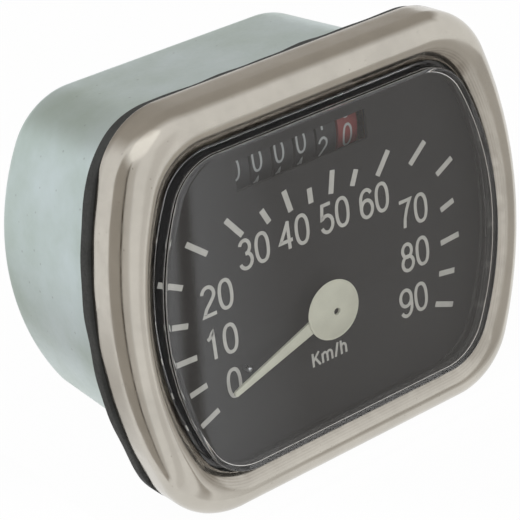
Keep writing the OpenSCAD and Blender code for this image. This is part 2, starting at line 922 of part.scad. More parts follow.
module cross_shaft() {
    color("#a9adaf")
        rod_x(shaft_r, shaft_left, shaft_right, shaft_at);
}

module worm_wheel() {
    right = wheel_half_t + wheel_hub_t;
    color("#b08d48")
        difference() {
            union() {
                translate([0, wheel_y, wheel_z])
                    plate(-wheel_half_t, wheel_half_t)
                        polygon(teeth(wheel_n, wheel_root_r, wheel_tip_r, wheel_root_w, wheel_tip_w, -90));
                rod_x(wheel_hub_r, wheel_half_t, right, shaft_at);
            }
            hole_x(shaft_r + slack, -wheel_half_t, right, shaft_at);
        }
}

module cross_pinion() {
    color("#b08d48")
        difference() {
            gear(pinion_n, train_x, shaft_at, heading(shaft_at, arbor_1));
            hole_x(shaft_r + slack, train_x, train_x + gear_t, shaft_at);
        }
}

// Block on the base that carries the left end of the cross shaft
module shaft_bracket() {
    color("#9da1a3")
        difference() {
            box([bracket_screw[0] - bracket_edge, bracket_front, wheel_z - bracket_half_h],
                [bracket_right, base_front, wheel_z + bracket_half_h]);
            rod_x(shaft_r + run_fit, shaft_left - play, bracket_right + over, shaft_at);
            hole_y(screw_r + slack, bracket_front, base_front, bracket_screw[0], bracket_screw[1]);
        }
}

// Side plate from the base up to the drums, with a foot that is screwed to the base
module side_plate(x0, foot_x0) {
    x1 = x0 + plate_t;
    edge = 4;
    top = axle_z + edge;
    nose = drum_y - 1.1 * edge;
    sill = bridge_top + 0.5;
    difference() {
        union() {
            plate(x0, x1)
                polygon([
                    [base_front, foot_bottom], [base_front, base_top - 1],
                    arbor_1 + [edge, edge], [arbor_2[0] + edge, top],
                    [nose, top], [nose, axle_z - edge],
                    [min(bridge_back, rod_at[0] - edge), sill], [rod_at[0] + edge, sill],
                    shaft_at - [edge, edge], [base_front - edge, foot_bottom]
                ]);
            box([foot_x0, base_front - foot_t, foot_bottom],
                [foot_x0 + foot_w + plate_t, base_front, foot_top]);
        }
        hole_x(axle_r + slack, x0, x1, axle_at);
        hole_x(rod_r + slack, x0, x1, rod_at);
        for (p = foot_screws())
            hole_y(screw_r + slack, base_front - foot_t, base_front, p[0], p[1]);
    }
}

module gear_plate() {
    color("#aeb2b4")
        difference() {
            side_plate(gear_plate_x, gear_plate_x - foot_w);
            hole_x(shaft_r + run_fit, gear_plate_x, gear_plate_x + plate_t, shaft_at);
            for (at = [arbor_1, arbor_2])
                hole_x(arbor_r + slack, gear_plate_x, gear_plate_x + plate_t, at);
        }
}

module odometer_bracket() {
    color("#aeb2b4")
        side_plate(left_plate_x, left_plate_x);
}

// Headed pins in the gear plate that carry the two double gears
module gear_arbors() {
    head = train_x - arbor_play;
    color("#a9adaf")
        for (at = [arbor_1, arbor_2]) {
            rod_x(arbor_r, head, gear_plate_x + plate_t, at);
            rod_x(arbor_head_r, head - arbor_head_t, head, at);
        }
}

// Double gear: a wheel in one plane and a pinion in the next
module double_gear(at, wheel_x, wheel_phase, pinion_phase) {
    pinion_x = wheel_x + train_step;
    color("#b89a58")
        difference() {
            union() {
                gear(gear_n, wheel_x, at, wheel_phase);
                gear(pinion_n, pinion_x, at, pinion_phase);
                rod_x(train_hub_r, wheel_x, pinion_x + gear_t, at);
            }
            hole_x(arbor_r + run_fit, wheel_x, pinion_x + gear_t, at);
        }
}

module first_gear() {
    double_gear(arbor_1, train_x, heading(arbor_1, shaft_at) + 180 / gear_n, heading(arbor_1, arbor_2));
}

module second_gear() {
    double_gear(arbor_2, train_x + train_step,
        heading(arbor_2, arbor_1) + 180 / gear_n, heading(arbor_2, axle_at));
}

module odometer_gear() {
    wheel_x = train_x + 2 * train_step;
    hub_x = drums_right - hub_in;
    color("#b89a58")
        difference() {
            union() {
                gear(gear_n, wheel_x, axle_at, heading(axle_at, arbor_2) + 180 / gear_n);
                rod_x(odometer_hub_r, hub_x, wheel_x, axle_at);
            }
            hole_x(drum_bore_r, hub_x, wheel_x + gear_t, axle_at);
        }
}

module odometer_axle() {
    color("#a9adaf")
        rod_x(axle_r, left_plate_x, gear_plate_x + plate_t, axle_at);
}

module axle_spacer() {
    color("#b9bcbd")
        difference() {
            rod_x(drum_hub_r, left_plate_x + plate_t, drums_left, axle_at);
            hole_x(axle_r + slack, left_plate_x, drums_left, axle_at);
        }
}

module carrier_rod() {
    color("#a9adaf")
        rod_x(rod_r, left_plate_x, gear_plate_x + plate_t, rod_at);
}

// Thin plates between the drums that hold the carry pinions, hooked on the rod
module pinion_carriers() {
    color("#c2c4c0")
        for (i = [1 : drum_n - 1])
            let (x = drums_right - i * drum_pitch)
            difference() {
                union() {
                    rod_x(carrier_r, x - carrier_t / 2, x + carrier_t / 2, axle_at);
                    translate([x - tail_t / 2, drum_y, axle_z])
                        rotate([rod_angle, 0, 0])
                            translate([0, 0, -tail_w / 2])
                                cube([tail_t, rod_reach, tail_w]);
                    rod_x(rod_eye_r, x - tail_t / 2, x + tail_t / 2, rod_at);
                }
                hole_x(axle_r + slack, x, x, axle_at);
                hole_x(rod_r + slack, x, x, rod_at);
                hole_x(carry_neck_r + run_fit, x, x, axle_at + [carry_at, 0]);
            }
}

// Number drum: a rim with a ring of inner teeth on its right and a plain hollow on its left
module drum(i, tint) {
    left = drums_right - (i + 1) * drum_pitch + drum_gap / 2;
    right = left + drum_w;
    hub_left = drums_right - (i + 1) * drum_pitch + hub_in;
    hub_right = drums_right - i * drum_pitch - hub_in;
    color(tint)
        difference() {
            union() {
                difference() {
                    rod_x(drum_r, left, right, axle_at);
                    rod_x(hollow_r, left - over, left + drum_cavity, axle_at);
                    translate([0, drum_y, axle_z])
                        plate(right - drum_cavity, right + over)
                            polygon(teeth(ring_teeth, ring_tip_r, ring_root_r, ring_tip_w, ring_root_w, 0));
                }
                rod_x(drum_hub_r, hub_left, hub_right, axle_at);
            }
            hole_x(drum_bore_r, left, right, axle_at);
        }
}

module drum_tenths() drum(0, "#8a3434");
module drum_units() drum(1, "#36373a");
module drum_tens() drum(2, "#36373a");
module drum_hundreds() drum(3, "#36373a");
module drum_thousands() drum(4, "#36373a");
module drum_ten_thousands() drum(5, "#36373a");

// Carry pinion: two small gears either side of a neck that runs in its carrier
module carry_pinion(i) {
    x = drums_right - i * drum_pitch;
    color("#d0cdbf")
        translate([0, drum_y + carry_at, axle_z])
            union() {
                for (x0 = [x - hub_in - carry_t, x + hub_in])
                    plate(x0, x0 + carry_t)
                        polygon(teeth(carry_teeth, carry_root_r, carry_tip_r, carry_root_w, carry_tip_w, 0));
                rod_x(carry_neck_r, x - hub_in - carry_lap, x + hub_in + carry_lap, [0, 0]);
            }
}

module carry_pinion_1() carry_pinion(1);
module carry_pinion_2() carry_pinion(2);
module carry_pinion_3() carry_pinion(3);
module carry_pinion_4() carry_pinion(4);
module carry_pinion_5() carry_pinion(5);

// Lamp socket with a flange outside the case and a spade terminal
module lamp_holder() {
    color("#bdbfb8")
        difference() {
            union() {
                rod_y(lamp_r, lamp_front, flange_y, lamp_x, lamp_z);
                rod_y(lamp_flange_r, case_y, flange_y, lamp_x, lamp_z);
                box([lamp_x - tab_w / 2, flange_y, lamp_z - tab_t / 2],
                    [lamp_x + tab_w / 2, flange_y + tab_len, lamp_z + tab_t / 2]);
            }
            rod_y(bulb_r + slack, lamp_front - over, lamp_floor, lamp_x, lamp_z);
        }
}

module lamp_bulb() {
    round_y = lamp_front - bulb_out;
    color("#d8dde0")
        union() {
            rod_y(bulb_r, round_y, lamp_floor - play, lamp_x, lamp_z);
            translate([lamp_x, round_y, lamp_z])
                sphere(bulb_r);
        }
}

case_shell();
bezel_ring();
lens();
lens_gasket();
panel_gasket();
dial_plate();
dial_rivets();
rest_pin();
pointer_needle();
pointer_hub();
pointer_spindle();
speed_cup();
hairspring_collet();
hairspring();
zero_lever();
front_bush();
movement_base();
movement_bridge();
bridge_pillars();
dial_pillars();
frame_screws();
rear_studs();
stud_washers();
stud_nuts();
drive_neck();
drive_spindle();
spindle_clip();
drive_worm();
keeper_cup();
magnet();
cross_shaft();
worm_wheel();
cross_pinion();
shaft_bracket();
gear_plate();
gear_arbors();
first_gear();
second_gear();
odometer_gear();
odometer_axle();
odometer_bracket();
axle_spacer();
carrier_rod();
pinion_carriers();
drum_tenths();
drum_units();
drum_tens();
drum_hundreds();
drum_thousands();
drum_ten_thousands();
carry_pinion_1();
carry_pinion_2();
carry_pinion_3();
carry_pinion_4();
carry_pinion_5();
lamp_holder();
lamp_bulb();
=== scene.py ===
"""Looks of a cable-driven panel speedometer.

Makes its case, bezel, lens, rubbers, dial, pointer, number drums and rear fittings round the frame.
"""

import math

import bmesh
import bpy
import numpy as np
from mathutils import Matrix, Vector


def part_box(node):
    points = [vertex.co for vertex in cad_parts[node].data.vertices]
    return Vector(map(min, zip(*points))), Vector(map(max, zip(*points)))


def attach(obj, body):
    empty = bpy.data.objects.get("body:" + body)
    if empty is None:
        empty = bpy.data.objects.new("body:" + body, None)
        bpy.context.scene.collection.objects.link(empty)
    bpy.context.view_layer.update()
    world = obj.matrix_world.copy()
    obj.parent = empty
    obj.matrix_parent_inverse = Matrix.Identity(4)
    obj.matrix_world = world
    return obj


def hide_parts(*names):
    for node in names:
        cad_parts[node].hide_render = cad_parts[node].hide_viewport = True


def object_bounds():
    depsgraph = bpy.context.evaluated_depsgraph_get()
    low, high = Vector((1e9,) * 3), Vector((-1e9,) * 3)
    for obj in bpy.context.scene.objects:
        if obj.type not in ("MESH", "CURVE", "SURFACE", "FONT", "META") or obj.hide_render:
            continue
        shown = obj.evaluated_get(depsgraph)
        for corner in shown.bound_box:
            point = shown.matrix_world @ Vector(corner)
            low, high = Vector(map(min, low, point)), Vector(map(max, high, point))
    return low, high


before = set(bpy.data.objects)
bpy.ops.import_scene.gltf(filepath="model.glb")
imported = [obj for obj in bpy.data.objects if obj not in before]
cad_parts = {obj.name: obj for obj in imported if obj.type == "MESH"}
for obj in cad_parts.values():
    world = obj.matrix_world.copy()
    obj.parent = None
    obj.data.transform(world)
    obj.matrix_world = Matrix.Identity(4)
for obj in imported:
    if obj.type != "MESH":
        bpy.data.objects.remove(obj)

bl_info = {
    "name": "Panel Speedometer",
    "version": (1, 0, 0),
    "blender": (4, 5, 0),
    "location": "View3D > Sidebar > Speedometer",
    "description": "Builds the finished surfaces of a panel speedometer around its frame",
    "category": "Object",
}

MM = 0.001
CAD_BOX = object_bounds()
BEZEL_LOW, BEZEL_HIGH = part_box("bezel_ring")
LENS_LOW, LENS_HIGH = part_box("lens")
DIAL_LOW, DIAL_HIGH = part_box("dial_plate")
CASE_LOW, CASE_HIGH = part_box("case_shell")
HUB_LOW, HUB_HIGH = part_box("pointer_hub")
NEEDLE_LOW, NEEDLE_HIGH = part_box("pointer_needle")
DRUMS = ("tenths", "units", "tens", "hundreds", "thousands", "ten_thousands")
MID_Z = (BEZEL_LOW.z + BEZEL_HIGH.z) / 2

# Steps of the smooth outlines: bowed side, corner and straight stretch of one quarter, and round pieces
SIDE_STEPS = 20
CORNER_STEPS = 24
FLAT_STEPS = 14
TURN_STEPS = 96
# How much the corners tighten with the inset, and the power of the bezel face's fall from crest to lip
CORNER_KEEP = 0.45
FACE_BEND = 1.5
# Share of tarnish: rings on the bezel's face from the lip to the crest, then rolled lip, back edge, curl and
# underside
LIP_STAINS = (1, 0.85, 1, 0.7, 0.95, 0.5, 0.8, 0.35, 0.6, 0.2, 0.35, 0.08, 0, 0, 0, 0)
ROLL_STAIN = 0.8
BACK_STAIN = 0.3
CURL_STAIN = 0.5
UNDER_STAIN = 0.6
# Tarnish round the bezel, which falls from upper left to lower right: middle share and least share
WORN_MIDDLE = 0.55
WORN_LEAST = 0.3
# The span that most values of a noise texture lie in
NOISE_SPAN = {"From Min": 0.3, "From Max": 0.7}
# Patterns of the plated sheet in millimetres: tarnish blotches, pits and waves in nickel, specks in zinc
BLOTCH = 2.5
PIT_SPACING = 1.7
WAVE = 7
SPECK_SPACING = 3.2
WAVE_HEIGHT = 0.08
PIT_DEPTH = 0.02


def linear(code):
    """A colour written as sRGB hex, in Blender's linear values."""
    parts = [int(code[i:i + 2], 16) / 255 for i in (1, 3, 5)]
    return tuple(p / 12.92 if p <= 0.04045 else ((p + 0.055) / 1.055) ** 2.4 for p in parts)


def length(name, description, size):
    return bpy.props.FloatProperty(
        name=name, description=description, default=size, unit="LENGTH", precision=5, step=0.01)


def angle(name, description, degrees):
    return bpy.props.FloatProperty(
        name=name, description=description, default=math.radians(degrees), subtype="ANGLE")


def tint(name, description, code):
    return bpy.props.FloatVectorProperty(
        name=name, description=description, default=linear(code), subtype="COLOR", size=3, min=0, max=1)


class BezelSizes(bpy.types.PropertyGroup):
    width: length("Width", "Width of the bezel", BEZEL_HIGH.x - BEZEL_LOW.x)
    height: length("Height", "Height of the bezel", BEZEL_HIGH.z - BEZEL_LOW.z)
    corner: length("Corner radius", "Corner radius of the outer outline", 14 * MM)
    bow: length("Side bow", "How far each side bows out past its corners", 4.4 * MM)
    sheet: length("Sheet", "Thickness of the plated sheet", 0.9 * MM)
    edge: length("Edge radius", "Depth of the rounded outer edge", 5 * MM)
    crest_in: length("Crest inset", "Distance from the outer edge in to the crest", 4.2 * MM)
    lip_in: length("Lip inset", "Distance from the outer edge in to the lip", 7.6 * MM)
    lip_drop: length("Lip drop", "How far the lip lies behind the crest", 1.8 * MM)
    side_gain: length("Side gain", "How much nearer to the edge the lip lies at the sides", 0.6 * MM)
    lip_roll: length("Lip roll", "Radius of the rolled edge of the lip", 0.35 * MM)
    curl_in: length("Rear curl", "How far the rear edge curls in", 3.25 * MM)
    back_edge: length("Back edge", "Radius of the edge at the back", 0.3 * MM)


class CaseSizes(bpy.types.PropertyGroup):
    side_in: length("Side inset", "How far the case sides lie inside the bezel's outline", 3.4 * MM)
    top_in: length("Top inset", "How far the case top and bottom lie inside the bezel's outline", 6 * MM)
    corner: length("Corner radius", "Corner radius of the case", 14.5 * MM)
    wall: length("Sheet", "Sheet thickness of the case", 0.8 * MM)
    taper: length("Taper", "How far the case narrows towards its back", 1.3 * MM)
    rear_edge: length("Rear edge", "Radius of the rounded rear edge", 3 * MM)
    rear_land: length("Rear land", "Flat ring kept inside the rounded rear edge", 1 * MM)
    rim_gap: length("Rim gap", "Gap between the case's rim and the bezel's sheet", 0.15 * MM)
    neck_hole: length("Neck hole", "Radius of the hole for the cable neck", 5.55 * MM)
    lamp_hole: length("Lamp hole", "Radius of the hole for the lamp holder", 5.05 * MM)


class RubberSizes(bpy.types.PropertyGroup):
    top_in: length("Top inset", "How far the panel rubber lies inside the bezel at its top", 0.4 * MM)
    side_out: length("Side outset", "How far the panel rubber stands past the bezel's sides", 0.9 * MM)
    wave: length("Wave", "How far the cut edge of the panel rubber wanders", 0.6 * MM)
    gap: length("Gap", "Gap between the panel rubber and the case", 0.05 * MM)
    edge: length("Edge", "Rounding of the panel rubber's edges", 0.2 * MM)
    ring_from: length("Ring outside", "Inset of the outer side of the ring behind the lens", 3 * MM)
    ring_to: length("Ring inside", "Inset of the inner side of the ring behind the lens", 7 * MM)
    ring_edge: length("Ring edge", "Rounding of the ring's edges", 0.15 * MM)


class LensSizes(bpy.types.PropertyGroup):
    gap: length("Gap", "Gap between the bezel's lip and the raised front", 0.7 * MM)
    front: length("Front thickness", "Thickness of the clear front", 1.4 * MM)
    side: length("Side thickness", "Thickness of the side wall", 0.7 * MM)
    edge: length("Edge radius", "Radius of the moulded front edge", 0.5 * MM)
    fillet: length("Inner fillet", "Radius inside the moulded front edge", 0.3 * MM)
    flange: length("Flange width", "How far the flange reaches past the raised front", 3.4 * MM)
    flange_depth: length("Flange thickness", "Thickness of the flange", 1 * MM)
    foot: length("Foot", "Size of the slope where the raised front meets the flange", 0.2 * MM)
    land: length("Land", "Flat ring kept inside the rounded edges", 0.6 * MM)


class DialSizes(bpy.types.PropertyGroup):
    numeral: length("Numeral height", "Height of the printed numerals", 6 * MM)
    stroke: length("Stroke", "Width of the numerals' strokes", 0.68 * MM)
    unit: length("Unit height", "Height of the printed unit's capital", 3.2 * MM)
    unit_stroke: length("Unit stroke", "Width of the unit's strokes", 0.46 * MM)
    mark: length("Mark width", "Width of the printed marks", 1.1 * MM)
    ink: length("Ink", "Thickness of the printed ink", 0.03 * MM)
    edge: length("Edge", "Rounding of the dial plate's cut edges", 0.12 * MM)
    window: length("Window height", "Height of the odometer window", 5.6 * MM)
    window_gap: length("Window gap", "How far the window reaches past the end drums", 0.25 * MM)
    bore: length("Bore radius", "Radius of the hole for the pointer's spindle", 2 * MM)
    pin_gap: length("Pin gap", "Gap round the rest pin", 0.03 * MM)
    plate_in: length("Plate inset", "How far the plate lies inside the bezel's outline", 2.4 * MM)
    first: angle("First mark", "Angle of the first mark below level", 22.4)
    sweep: angle("Mark step", "Angle between neighbouring marks", 12.44)


class PointerSizes(bpy.types.PropertyGroup):
    rest: angle("Rest angle", "Angle of the needle below level at rest", 18.4)
    root: length("Root width", "Width of the needle beside the hub", 2.6 * MM)
    tip: length("Tip width", "Width of the needle at its tip", 1.1 * MM)
    reach: length("Length", "Length of the needle from the axis to its tip", 24.5 * MM)
    boss: length("Boss radius", "Radius of the needle's boss behind the hub", 3 * MM)
    bore: length("Bore radius", "Radius of the hole for the spindle", 0.65 * MM)
    edge: length("Edge", "Rounding of the needle's edges", 0.1 * MM)
    hub_edge: length("Hub edge", "Chamfer on the hub's rear edge", 0.1 * MM)
    hub_rim: length("Hub rim", "Height of the hub at its rim", 0.16 * MM)
    hub_mouth: length("Hub mouth", "Chamfer round the hub's hole", 0.12 * MM)


class DrumSizes(bpy.types.PropertyGroup):
    digit: length("Digit height", "Height of the digits on the drums", 4.8 * MM)
    stroke: length("Digit stroke", "Width of the digits' strokes", 0.5 * MM)
    aside: length("Digit offset", "How far the digits stand left of each black drum's middle", 0.85 * MM)
    red_aside: length("Red digit offset", "How far the digits stand left of the red drum's middle", 0.1 * MM)
    narrow: bpy.props.FloatProperty(
        name="Digit width", description="Share of the plain digit's width", default=0.84)
    ink: length("Digit ink", "Thickness of the digits' ink", 0.02 * MM)


class RearSizes(bpy.types.PropertyGroup):
    neck_pitch: length("Neck pitch", "Thread pitch of the cable neck", 1 * MM)
    stud_pitch: length("Stud pitch", "Thread pitch of the fixing studs", 0.7 * MM)
    stud_spacing: length("Stud spacing", "Distance between the fixing studs", 44 * MM)
    stud_root: length("Stud root radius", "Radius of the studs inside their nuts", 2.5 * MM)
    stud_tip: length("Stud tip radius", "Outer radius of the studs' free thread", 2 * MM)
    stud_relief: length("Stud relief", "How far the thread starts below the studs' tip radius", 0.3 * MM)
    hole_gap: length("Hole gap", "Gap round the studs in the case, washers and nuts", 0.05 * MM)
    washer_edge: length("Washer edge", "Chamfer on the washers' lower edge", 0.1 * MM)
    nut_mouth: length("Nut mouth", "Chamfer round the nuts' holes", 0.3 * MM)
    neck: length("Neck radius", "Outer radius of the cable neck's thread", 6 * MM)
    neck_relief: length("Neck relief", "How far the thread starts below the neck's radius", 0.5 * MM)
    spigot: length("Spigot radius", "Radius of the cable neck inside the case", 5.5 * MM)
    well: length("Well radius", "Radius of the well behind the cable socket", 3.7 * MM)
    well_depth: length("Well depth", "Depth of the well behind the cable socket", 1.5 * MM)
    bore: length("Bore radius", "Radius of the bore for the drive spindle", 2.54 * MM)
    socket: length("Socket radius", "Radius of the cable socket", 4.1 * MM)
    socket_depth: length("Socket depth", "Depth of the cable socket", 7 * MM)
    edge: length("Edge break", "Chamfer on turned edges", 0.25 * MM)


class Tints(bpy.types.PropertyGroup):
    nickel: tint("Nickel", "Nickel plate of the bezel", "#C6C1B7")
    tarnish: tint("Tarnish", "Tarnish along the bezel's lip", "#57483A")
    zinc: tint("Zinc", "Zinc plate of the case", "#CCD9DB")
    zinc_green: tint("Zinc, passivated", "Greener patches of the zinc plate", "#B4C3BC")
    rubber: tint("Rubber", "Moulded rubber", "#2C2D2C")
    dial: tint("Dial", "Matt dial enamel", "#1A1A1B")
    ink: tint("Ink", "Printed marks and numerals", "#B4B4AE")
    cream: tint("Cream", "Enamel of the needle and hub", "#BDBEAE")
    drum: tint("Drum", "Black number drums", "#18191C")
    drum_red: tint("Red drum", "Red number drum", "#6E2C2B")
    drum_ink: tint("Drum ink", "Digits on the number drums", "#A3A8A8")
    steel: tint("Steel", "Turned steel", "#B9BCBE")
    drawn: tint("Drawn steel", "Drawn steel of the keeper", "#9DA0A2")
    blued: tint("Blued steel", "Blued steel of the pointer's spindle", "#2A2825")
    zinc_steel: tint("Plated fasteners", "Zinc-plated studs and nuts", "#C9CDC9")
    brass: tint("Brass", "Turned brass", "#C6A45E")
    aluminium: tint("Aluminium", "Spun aluminium", "#D5D8DA")
    die_cast: tint("Die casting", "Cast zinc alloy", "#B7B6AA")
    magnet: tint("Magnet", "Sintered magnet", "#3A3836")
    nylon: tint("Nylon", "Moulded nylon", "#DCD8C8")


class StageSettings(bpy.types.PropertyGroup):
    turn: angle("Camera turn", "Camera's angle to the left of the dial", 33.827)
    rise: angle("Camera rise", "Camera's angle above level", 25.299)
    roll: angle("Camera roll", "Camera's turn about its line of sight", -7.768)
    distance: length("Camera distance", "Distance from the camera to its target", 367.7 * MM)
    target_x: length("Target X", "Sideways place that the camera looks at", -12.1 * MM)
    target_z: length("Target Z", "Height that the camera looks at", 13.65 * MM)
    focal: bpy.props.FloatProperty(
        name="Focal length", description="Focal length in millimetres", default=145.5)
    floor: length("Floor", "Side of the square floor", 3)
    floor_white: bpy.props.FloatProperty(
        name="Floor white", description="Share of plain white in the floor where it is seen", default=0.97)
    world_light: bpy.props.FloatProperty(
        name="World light", description="Strength of the world's plain soft light", default=0.6)
    floor_tint: tint("Floor colour", "Colour of the floor", "#FFFFFF")
    card_tint: tint("Card colour", "Colour of the cards that shade the metal", "#B3AEA8")
    # Dark end of the glowing cards, which the metal shows as a painted reflected line
    reflected_line_tint: tint("Line colour", "Colour of the thin dark line beside the left card", "#3B3025")


GROUPS = {
    "speedometer_bezel": BezelSizes,
    "speedometer_case": CaseSizes,
    "speedometer_rubbers": RubberSizes,
    "speedometer_lens": LensSizes,
    "speedometer_dial": DialSizes,
    "speedometer_pointer": PointerSizes,
    "speedometer_drums": DrumSizes,
    "speedometer_rear": RearSizes,
    "speedometer_tints": Tints,
    "speedometer_stage": StageSettings,
}


# Outlines and meshes

def outline(in_x, in_z, radius):
    """Points (x, z) round the outline with bowed sides, drawn in from the bezel's edge."""
    bezel = bpy.context.scene.speedometer_bezel
    a = bezel.width / 2 - in_x
    b = bezel.height / 2 - in_z
    cx = a - radius - bezel.bow
    cz = b - radius
    big = ((a - cx) ** 2 + cz ** 2 - radius ** 2) / (2 * bezel.bow)
    lean = math.atan2(cz, cx - a + big)
    side = [(a - big + big * math.cos(t), big * math.sin(t))
            for t in np.linspace(0, lean, SIDE_STEPS, endpoint=False)]
    corner = [(cx + radius * math.cos(t), cz + radius * math.sin(t))
              for t in np.linspace(lean, math.pi / 2, CORNER_STEPS, endpoint=False)]
    flat = [(x, b) for x in np.linspace(cx, 0, FLAT_STEPS + 1)]
    quarter = np.array(side + corner + flat)
    turned = quarter[::-1]
    around = [quarter[:-1], turned[:-1] * (-1, 1), quarter[:-1] * (-1, -1), turned[:-1] * (1, -1)]
    return np.concatenate(around) + (0, MID_Z)


def inset(distance):
    """Outline at an inset; its corners tighten slowly, and past the crest its sides come nearer the edge."""
    bezel = bpy.context.scene.speedometer_bezel
    past = min(1, max(0, (distance - bezel.crest_in) / (bezel.lip_in - bezel.crest_in)))
    return outline(distance - bezel.side_gain * past, distance, bezel.corner - CORNER_KEEP * distance)


def case_line(distance):
    case = bpy.context.scene.speedometer_case
    return outline(case.side_in + distance, case.top_in + distance, case.corner)


def at_depth(line, y):
    """An outline in X and Z as points at one depth."""
    return np.column_stack([line[:, 0], np.full(len(line), y), line[:, 1]])


def ring(distance, y):
    """The bezel's outline at an inset, as points at one depth."""
    return at_depth(inset(distance), y)


def rounding(radius, steps):
    """Places along a quarter circle: how far in from its side, and how far back from its end."""
    turns = np.linspace(0, math.pi / 2, steps)
    return [(radius * (1 - math.cos(t)), radius * (1 - math.sin(t))) for t in turns]


def circle(radius, y, x=0.0, z=0.0, steps=TURN_STEPS):
    turns = np.linspace(0, math.tau, steps, endpoint=False)
    reach = radius if np.ndim(radius) else np.full(steps, radius)
    depth = y if np.ndim(y) else np.full(steps, y)
    return np.column_stack([x + reach * np.cos(turns), depth, z + reach * np.sin(turns)])


def turned_rings(section):
    """Circles about the Y axis from a section of (radius, depth)."""
    return [circle(radius, y) for radius, y in section]


def middle_of(node):
    low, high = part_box(node)
    return (low + high) / 2


def set_values(mesh, name, values):
    """Gives each point of the mesh a value under a name."""
    mesh.attributes.new(name, "FLOAT", "POINT").data.foreach_set("value", np.asarray(values, np.float32))


def mesh_of(name, points, faces, crease=35):
    """A mesh with its faces outwards and its edges creased past an angle in degrees."""
    mesh = bpy.data.meshes.new(name)
    mesh.from_pydata([tuple(p) for p in points], [], faces)
    work = bmesh.new()
    work.from_mesh(mesh)
    bmesh.ops.recalc_face_normals(work, faces=work.faces)
    work.to_mesh(mesh)
    work.free()
    return creased(mesh, crease)


def creased(mesh, crease=35):
    mesh.shade_smooth()
    mesh.set_sharp_from_angle(angle=math.radians(crease))
    return mesh


def loft(name, rings, closed=False, crease=35):
    """A skin through rings of points; a closed one joins its last ring to its first, others are capped."""
    count, total = len(rings[0]), len(rings)
    faces = []
    for k in range(total if closed else total - 1):
        low, high = k * count, (k + 1) % total * count
        for i in range(count):
            j = (i + 1) % count
            faces.append((low + i, low + j, high + j, high + i))
    if not closed:
        faces.append(tuple(range(count)))
        faces.append(tuple(range((total - 1) * count, total * count)))
    return mesh_of(name, np.concatenate(rings), faces, crease)


def joined(name, meshes):
    """Several meshes as one."""
    work = bmesh.new()
    for mesh in meshes:
        work.from_mesh(mesh)
        bpy.data.meshes.remove(mesh)
    mesh = bpy.data.meshes.new(name)
    work.to_mesh(mesh)
    work.free()
    return mesh


def evaluated(name, helper):
    """The finished mesh of a helper object, which is then removed."""
    shown = helper.evaluated_get(bpy.context.evaluated_depsgraph_get())
    mesh = bpy.data.meshes.new_from_object(shown)
    mesh.name = name
    bpy.data.objects.remove(helper)
    return mesh


def helper_object(name, data):
    helper = bpy.data.objects.new(name, data)
    bpy.context.scene.collection.objects.link(helper)
    return helper


def flat_plate(name, loops, y_front, y_back, edge, crease=35):
    """A plate with an outline and holes in X and Z, between two depths, with rounded edges."""
    curve = bpy.data.curves.new(name, "CURVE")
    curve.dimensions = "2D"
    curve.fill_mode = "BOTH"
    curve.extrude = (y_back - y_front) / 2 - edge
    curve.bevel_depth = edge
    curve.bevel_resolution = 2
    curve.offset = -edge
    for loop in loops:
        spline = curve.splines.new("POLY")
        spline.points.add(len(loop) - 1)
        for point, place in zip(spline.points, loop):
            point.co = (place[0], place[1], 0, 1)
        spline.use_cyclic_u = True
    mesh = evaluated(name, helper_object(name, curve))
    mesh.transform(Matrix.Translation((0, (y_front + y_back) / 2, 0)) @ Matrix.Rotation(math.pi / 2, 4, "X"))
    work = bmesh.new()
    work.from_mesh(mesh)
    bmesh.ops.remove_doubles(work, verts=work.verts, dist=1e-7)
    bmesh.ops.recalc_face_normals(work, faces=work.faces)
    work.to_mesh(mesh)
    work.free()
    return creased(mesh, crease)


def drilled(name, mesh, holes, y_low, y_high):
    """The mesh with round holes (radius, x, z) along Y."""
    body = helper_object(name, mesh)
    cutters = joined(name + "_cut", [
        loft(name, [circle(r, y_low, x, z), circle(r, y_high, x, z)]) for r, x, z in holes])
    cutter = helper_object(name + "_cutter", cutters)
    cut = body.modifiers.new("Holes", "BOOLEAN")
    cut.object = cutter
    cut.solver = "EXACT"
    result = evaluated(name, body)
    bpy.data.objects.remove(cutter)
    return creased(result)


def grown(name, seed, tree, values):
    """The plain mesh that a geometry tree makes from a seed mesh."""
    helper = helper_object(name + "_seed", seed)
    modifier = helper.modifiers.new("Tree", "NODES")
    modifier.node_group = tree
    for item in tree.interface.items_tree:
        if item.in_out == "INPUT" and item.name in values:
            modifier[item.identifier] = values[item.name]
    return evaluated(name, helper)


def put(name, mesh, material, body, slot, *nodes):
    """A finished piece that rides on a body and may stand for frame nodes."""
    piece = bpy.data.objects.new(name, mesh)
    bpy.context.scene.collection.objects.link(piece)
    if material:
        mesh.materials.clear()
        mesh.materials.append(material)
    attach(piece, body)
    if nodes:
        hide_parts(*nodes)
    return piece


def dress(material, *nodes):
    """Gives frame nodes a finish."""
    for name in nodes:
        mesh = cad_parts[name].data
        mesh.materials.clear()
        mesh.materials.append(material)


# Node trees

def add(tree, kind, values=None, links=None, **settings):
    """Adds a node with its settings, the values of its sockets and the links into them."""
    made = tree.nodes.new(kind)
    for key, value in settings.items():
        setattr(made, key, value)
    for key, value in (values or {}).items():
        made.inputs[key].default_value = value
    for key, source in (links or {}).items():
        tree.links.new(source, made.inputs[key])
    return made


def geometry_tree(name, inputs):
    """An empty geometry tree with named inputs; returns the tree, its input and its output."""
    tree = bpy.data.node_groups.new(name, "GeometryNodeTree")
    tree.interface.new_socket("Geometry", in_out="INPUT", socket_type="NodeSocketGeometry")
    for label, kind in inputs.items():
        tree.interface.new_socket(label, in_out="INPUT", socket_type=kind)
    tree.interface.new_socket("Geometry", in_out="OUTPUT", socket_type="NodeSocketGeometry")
    return tree, add(tree, "NodeGroupInput").outputs, add(tree, "NodeGroupOutput").inputs


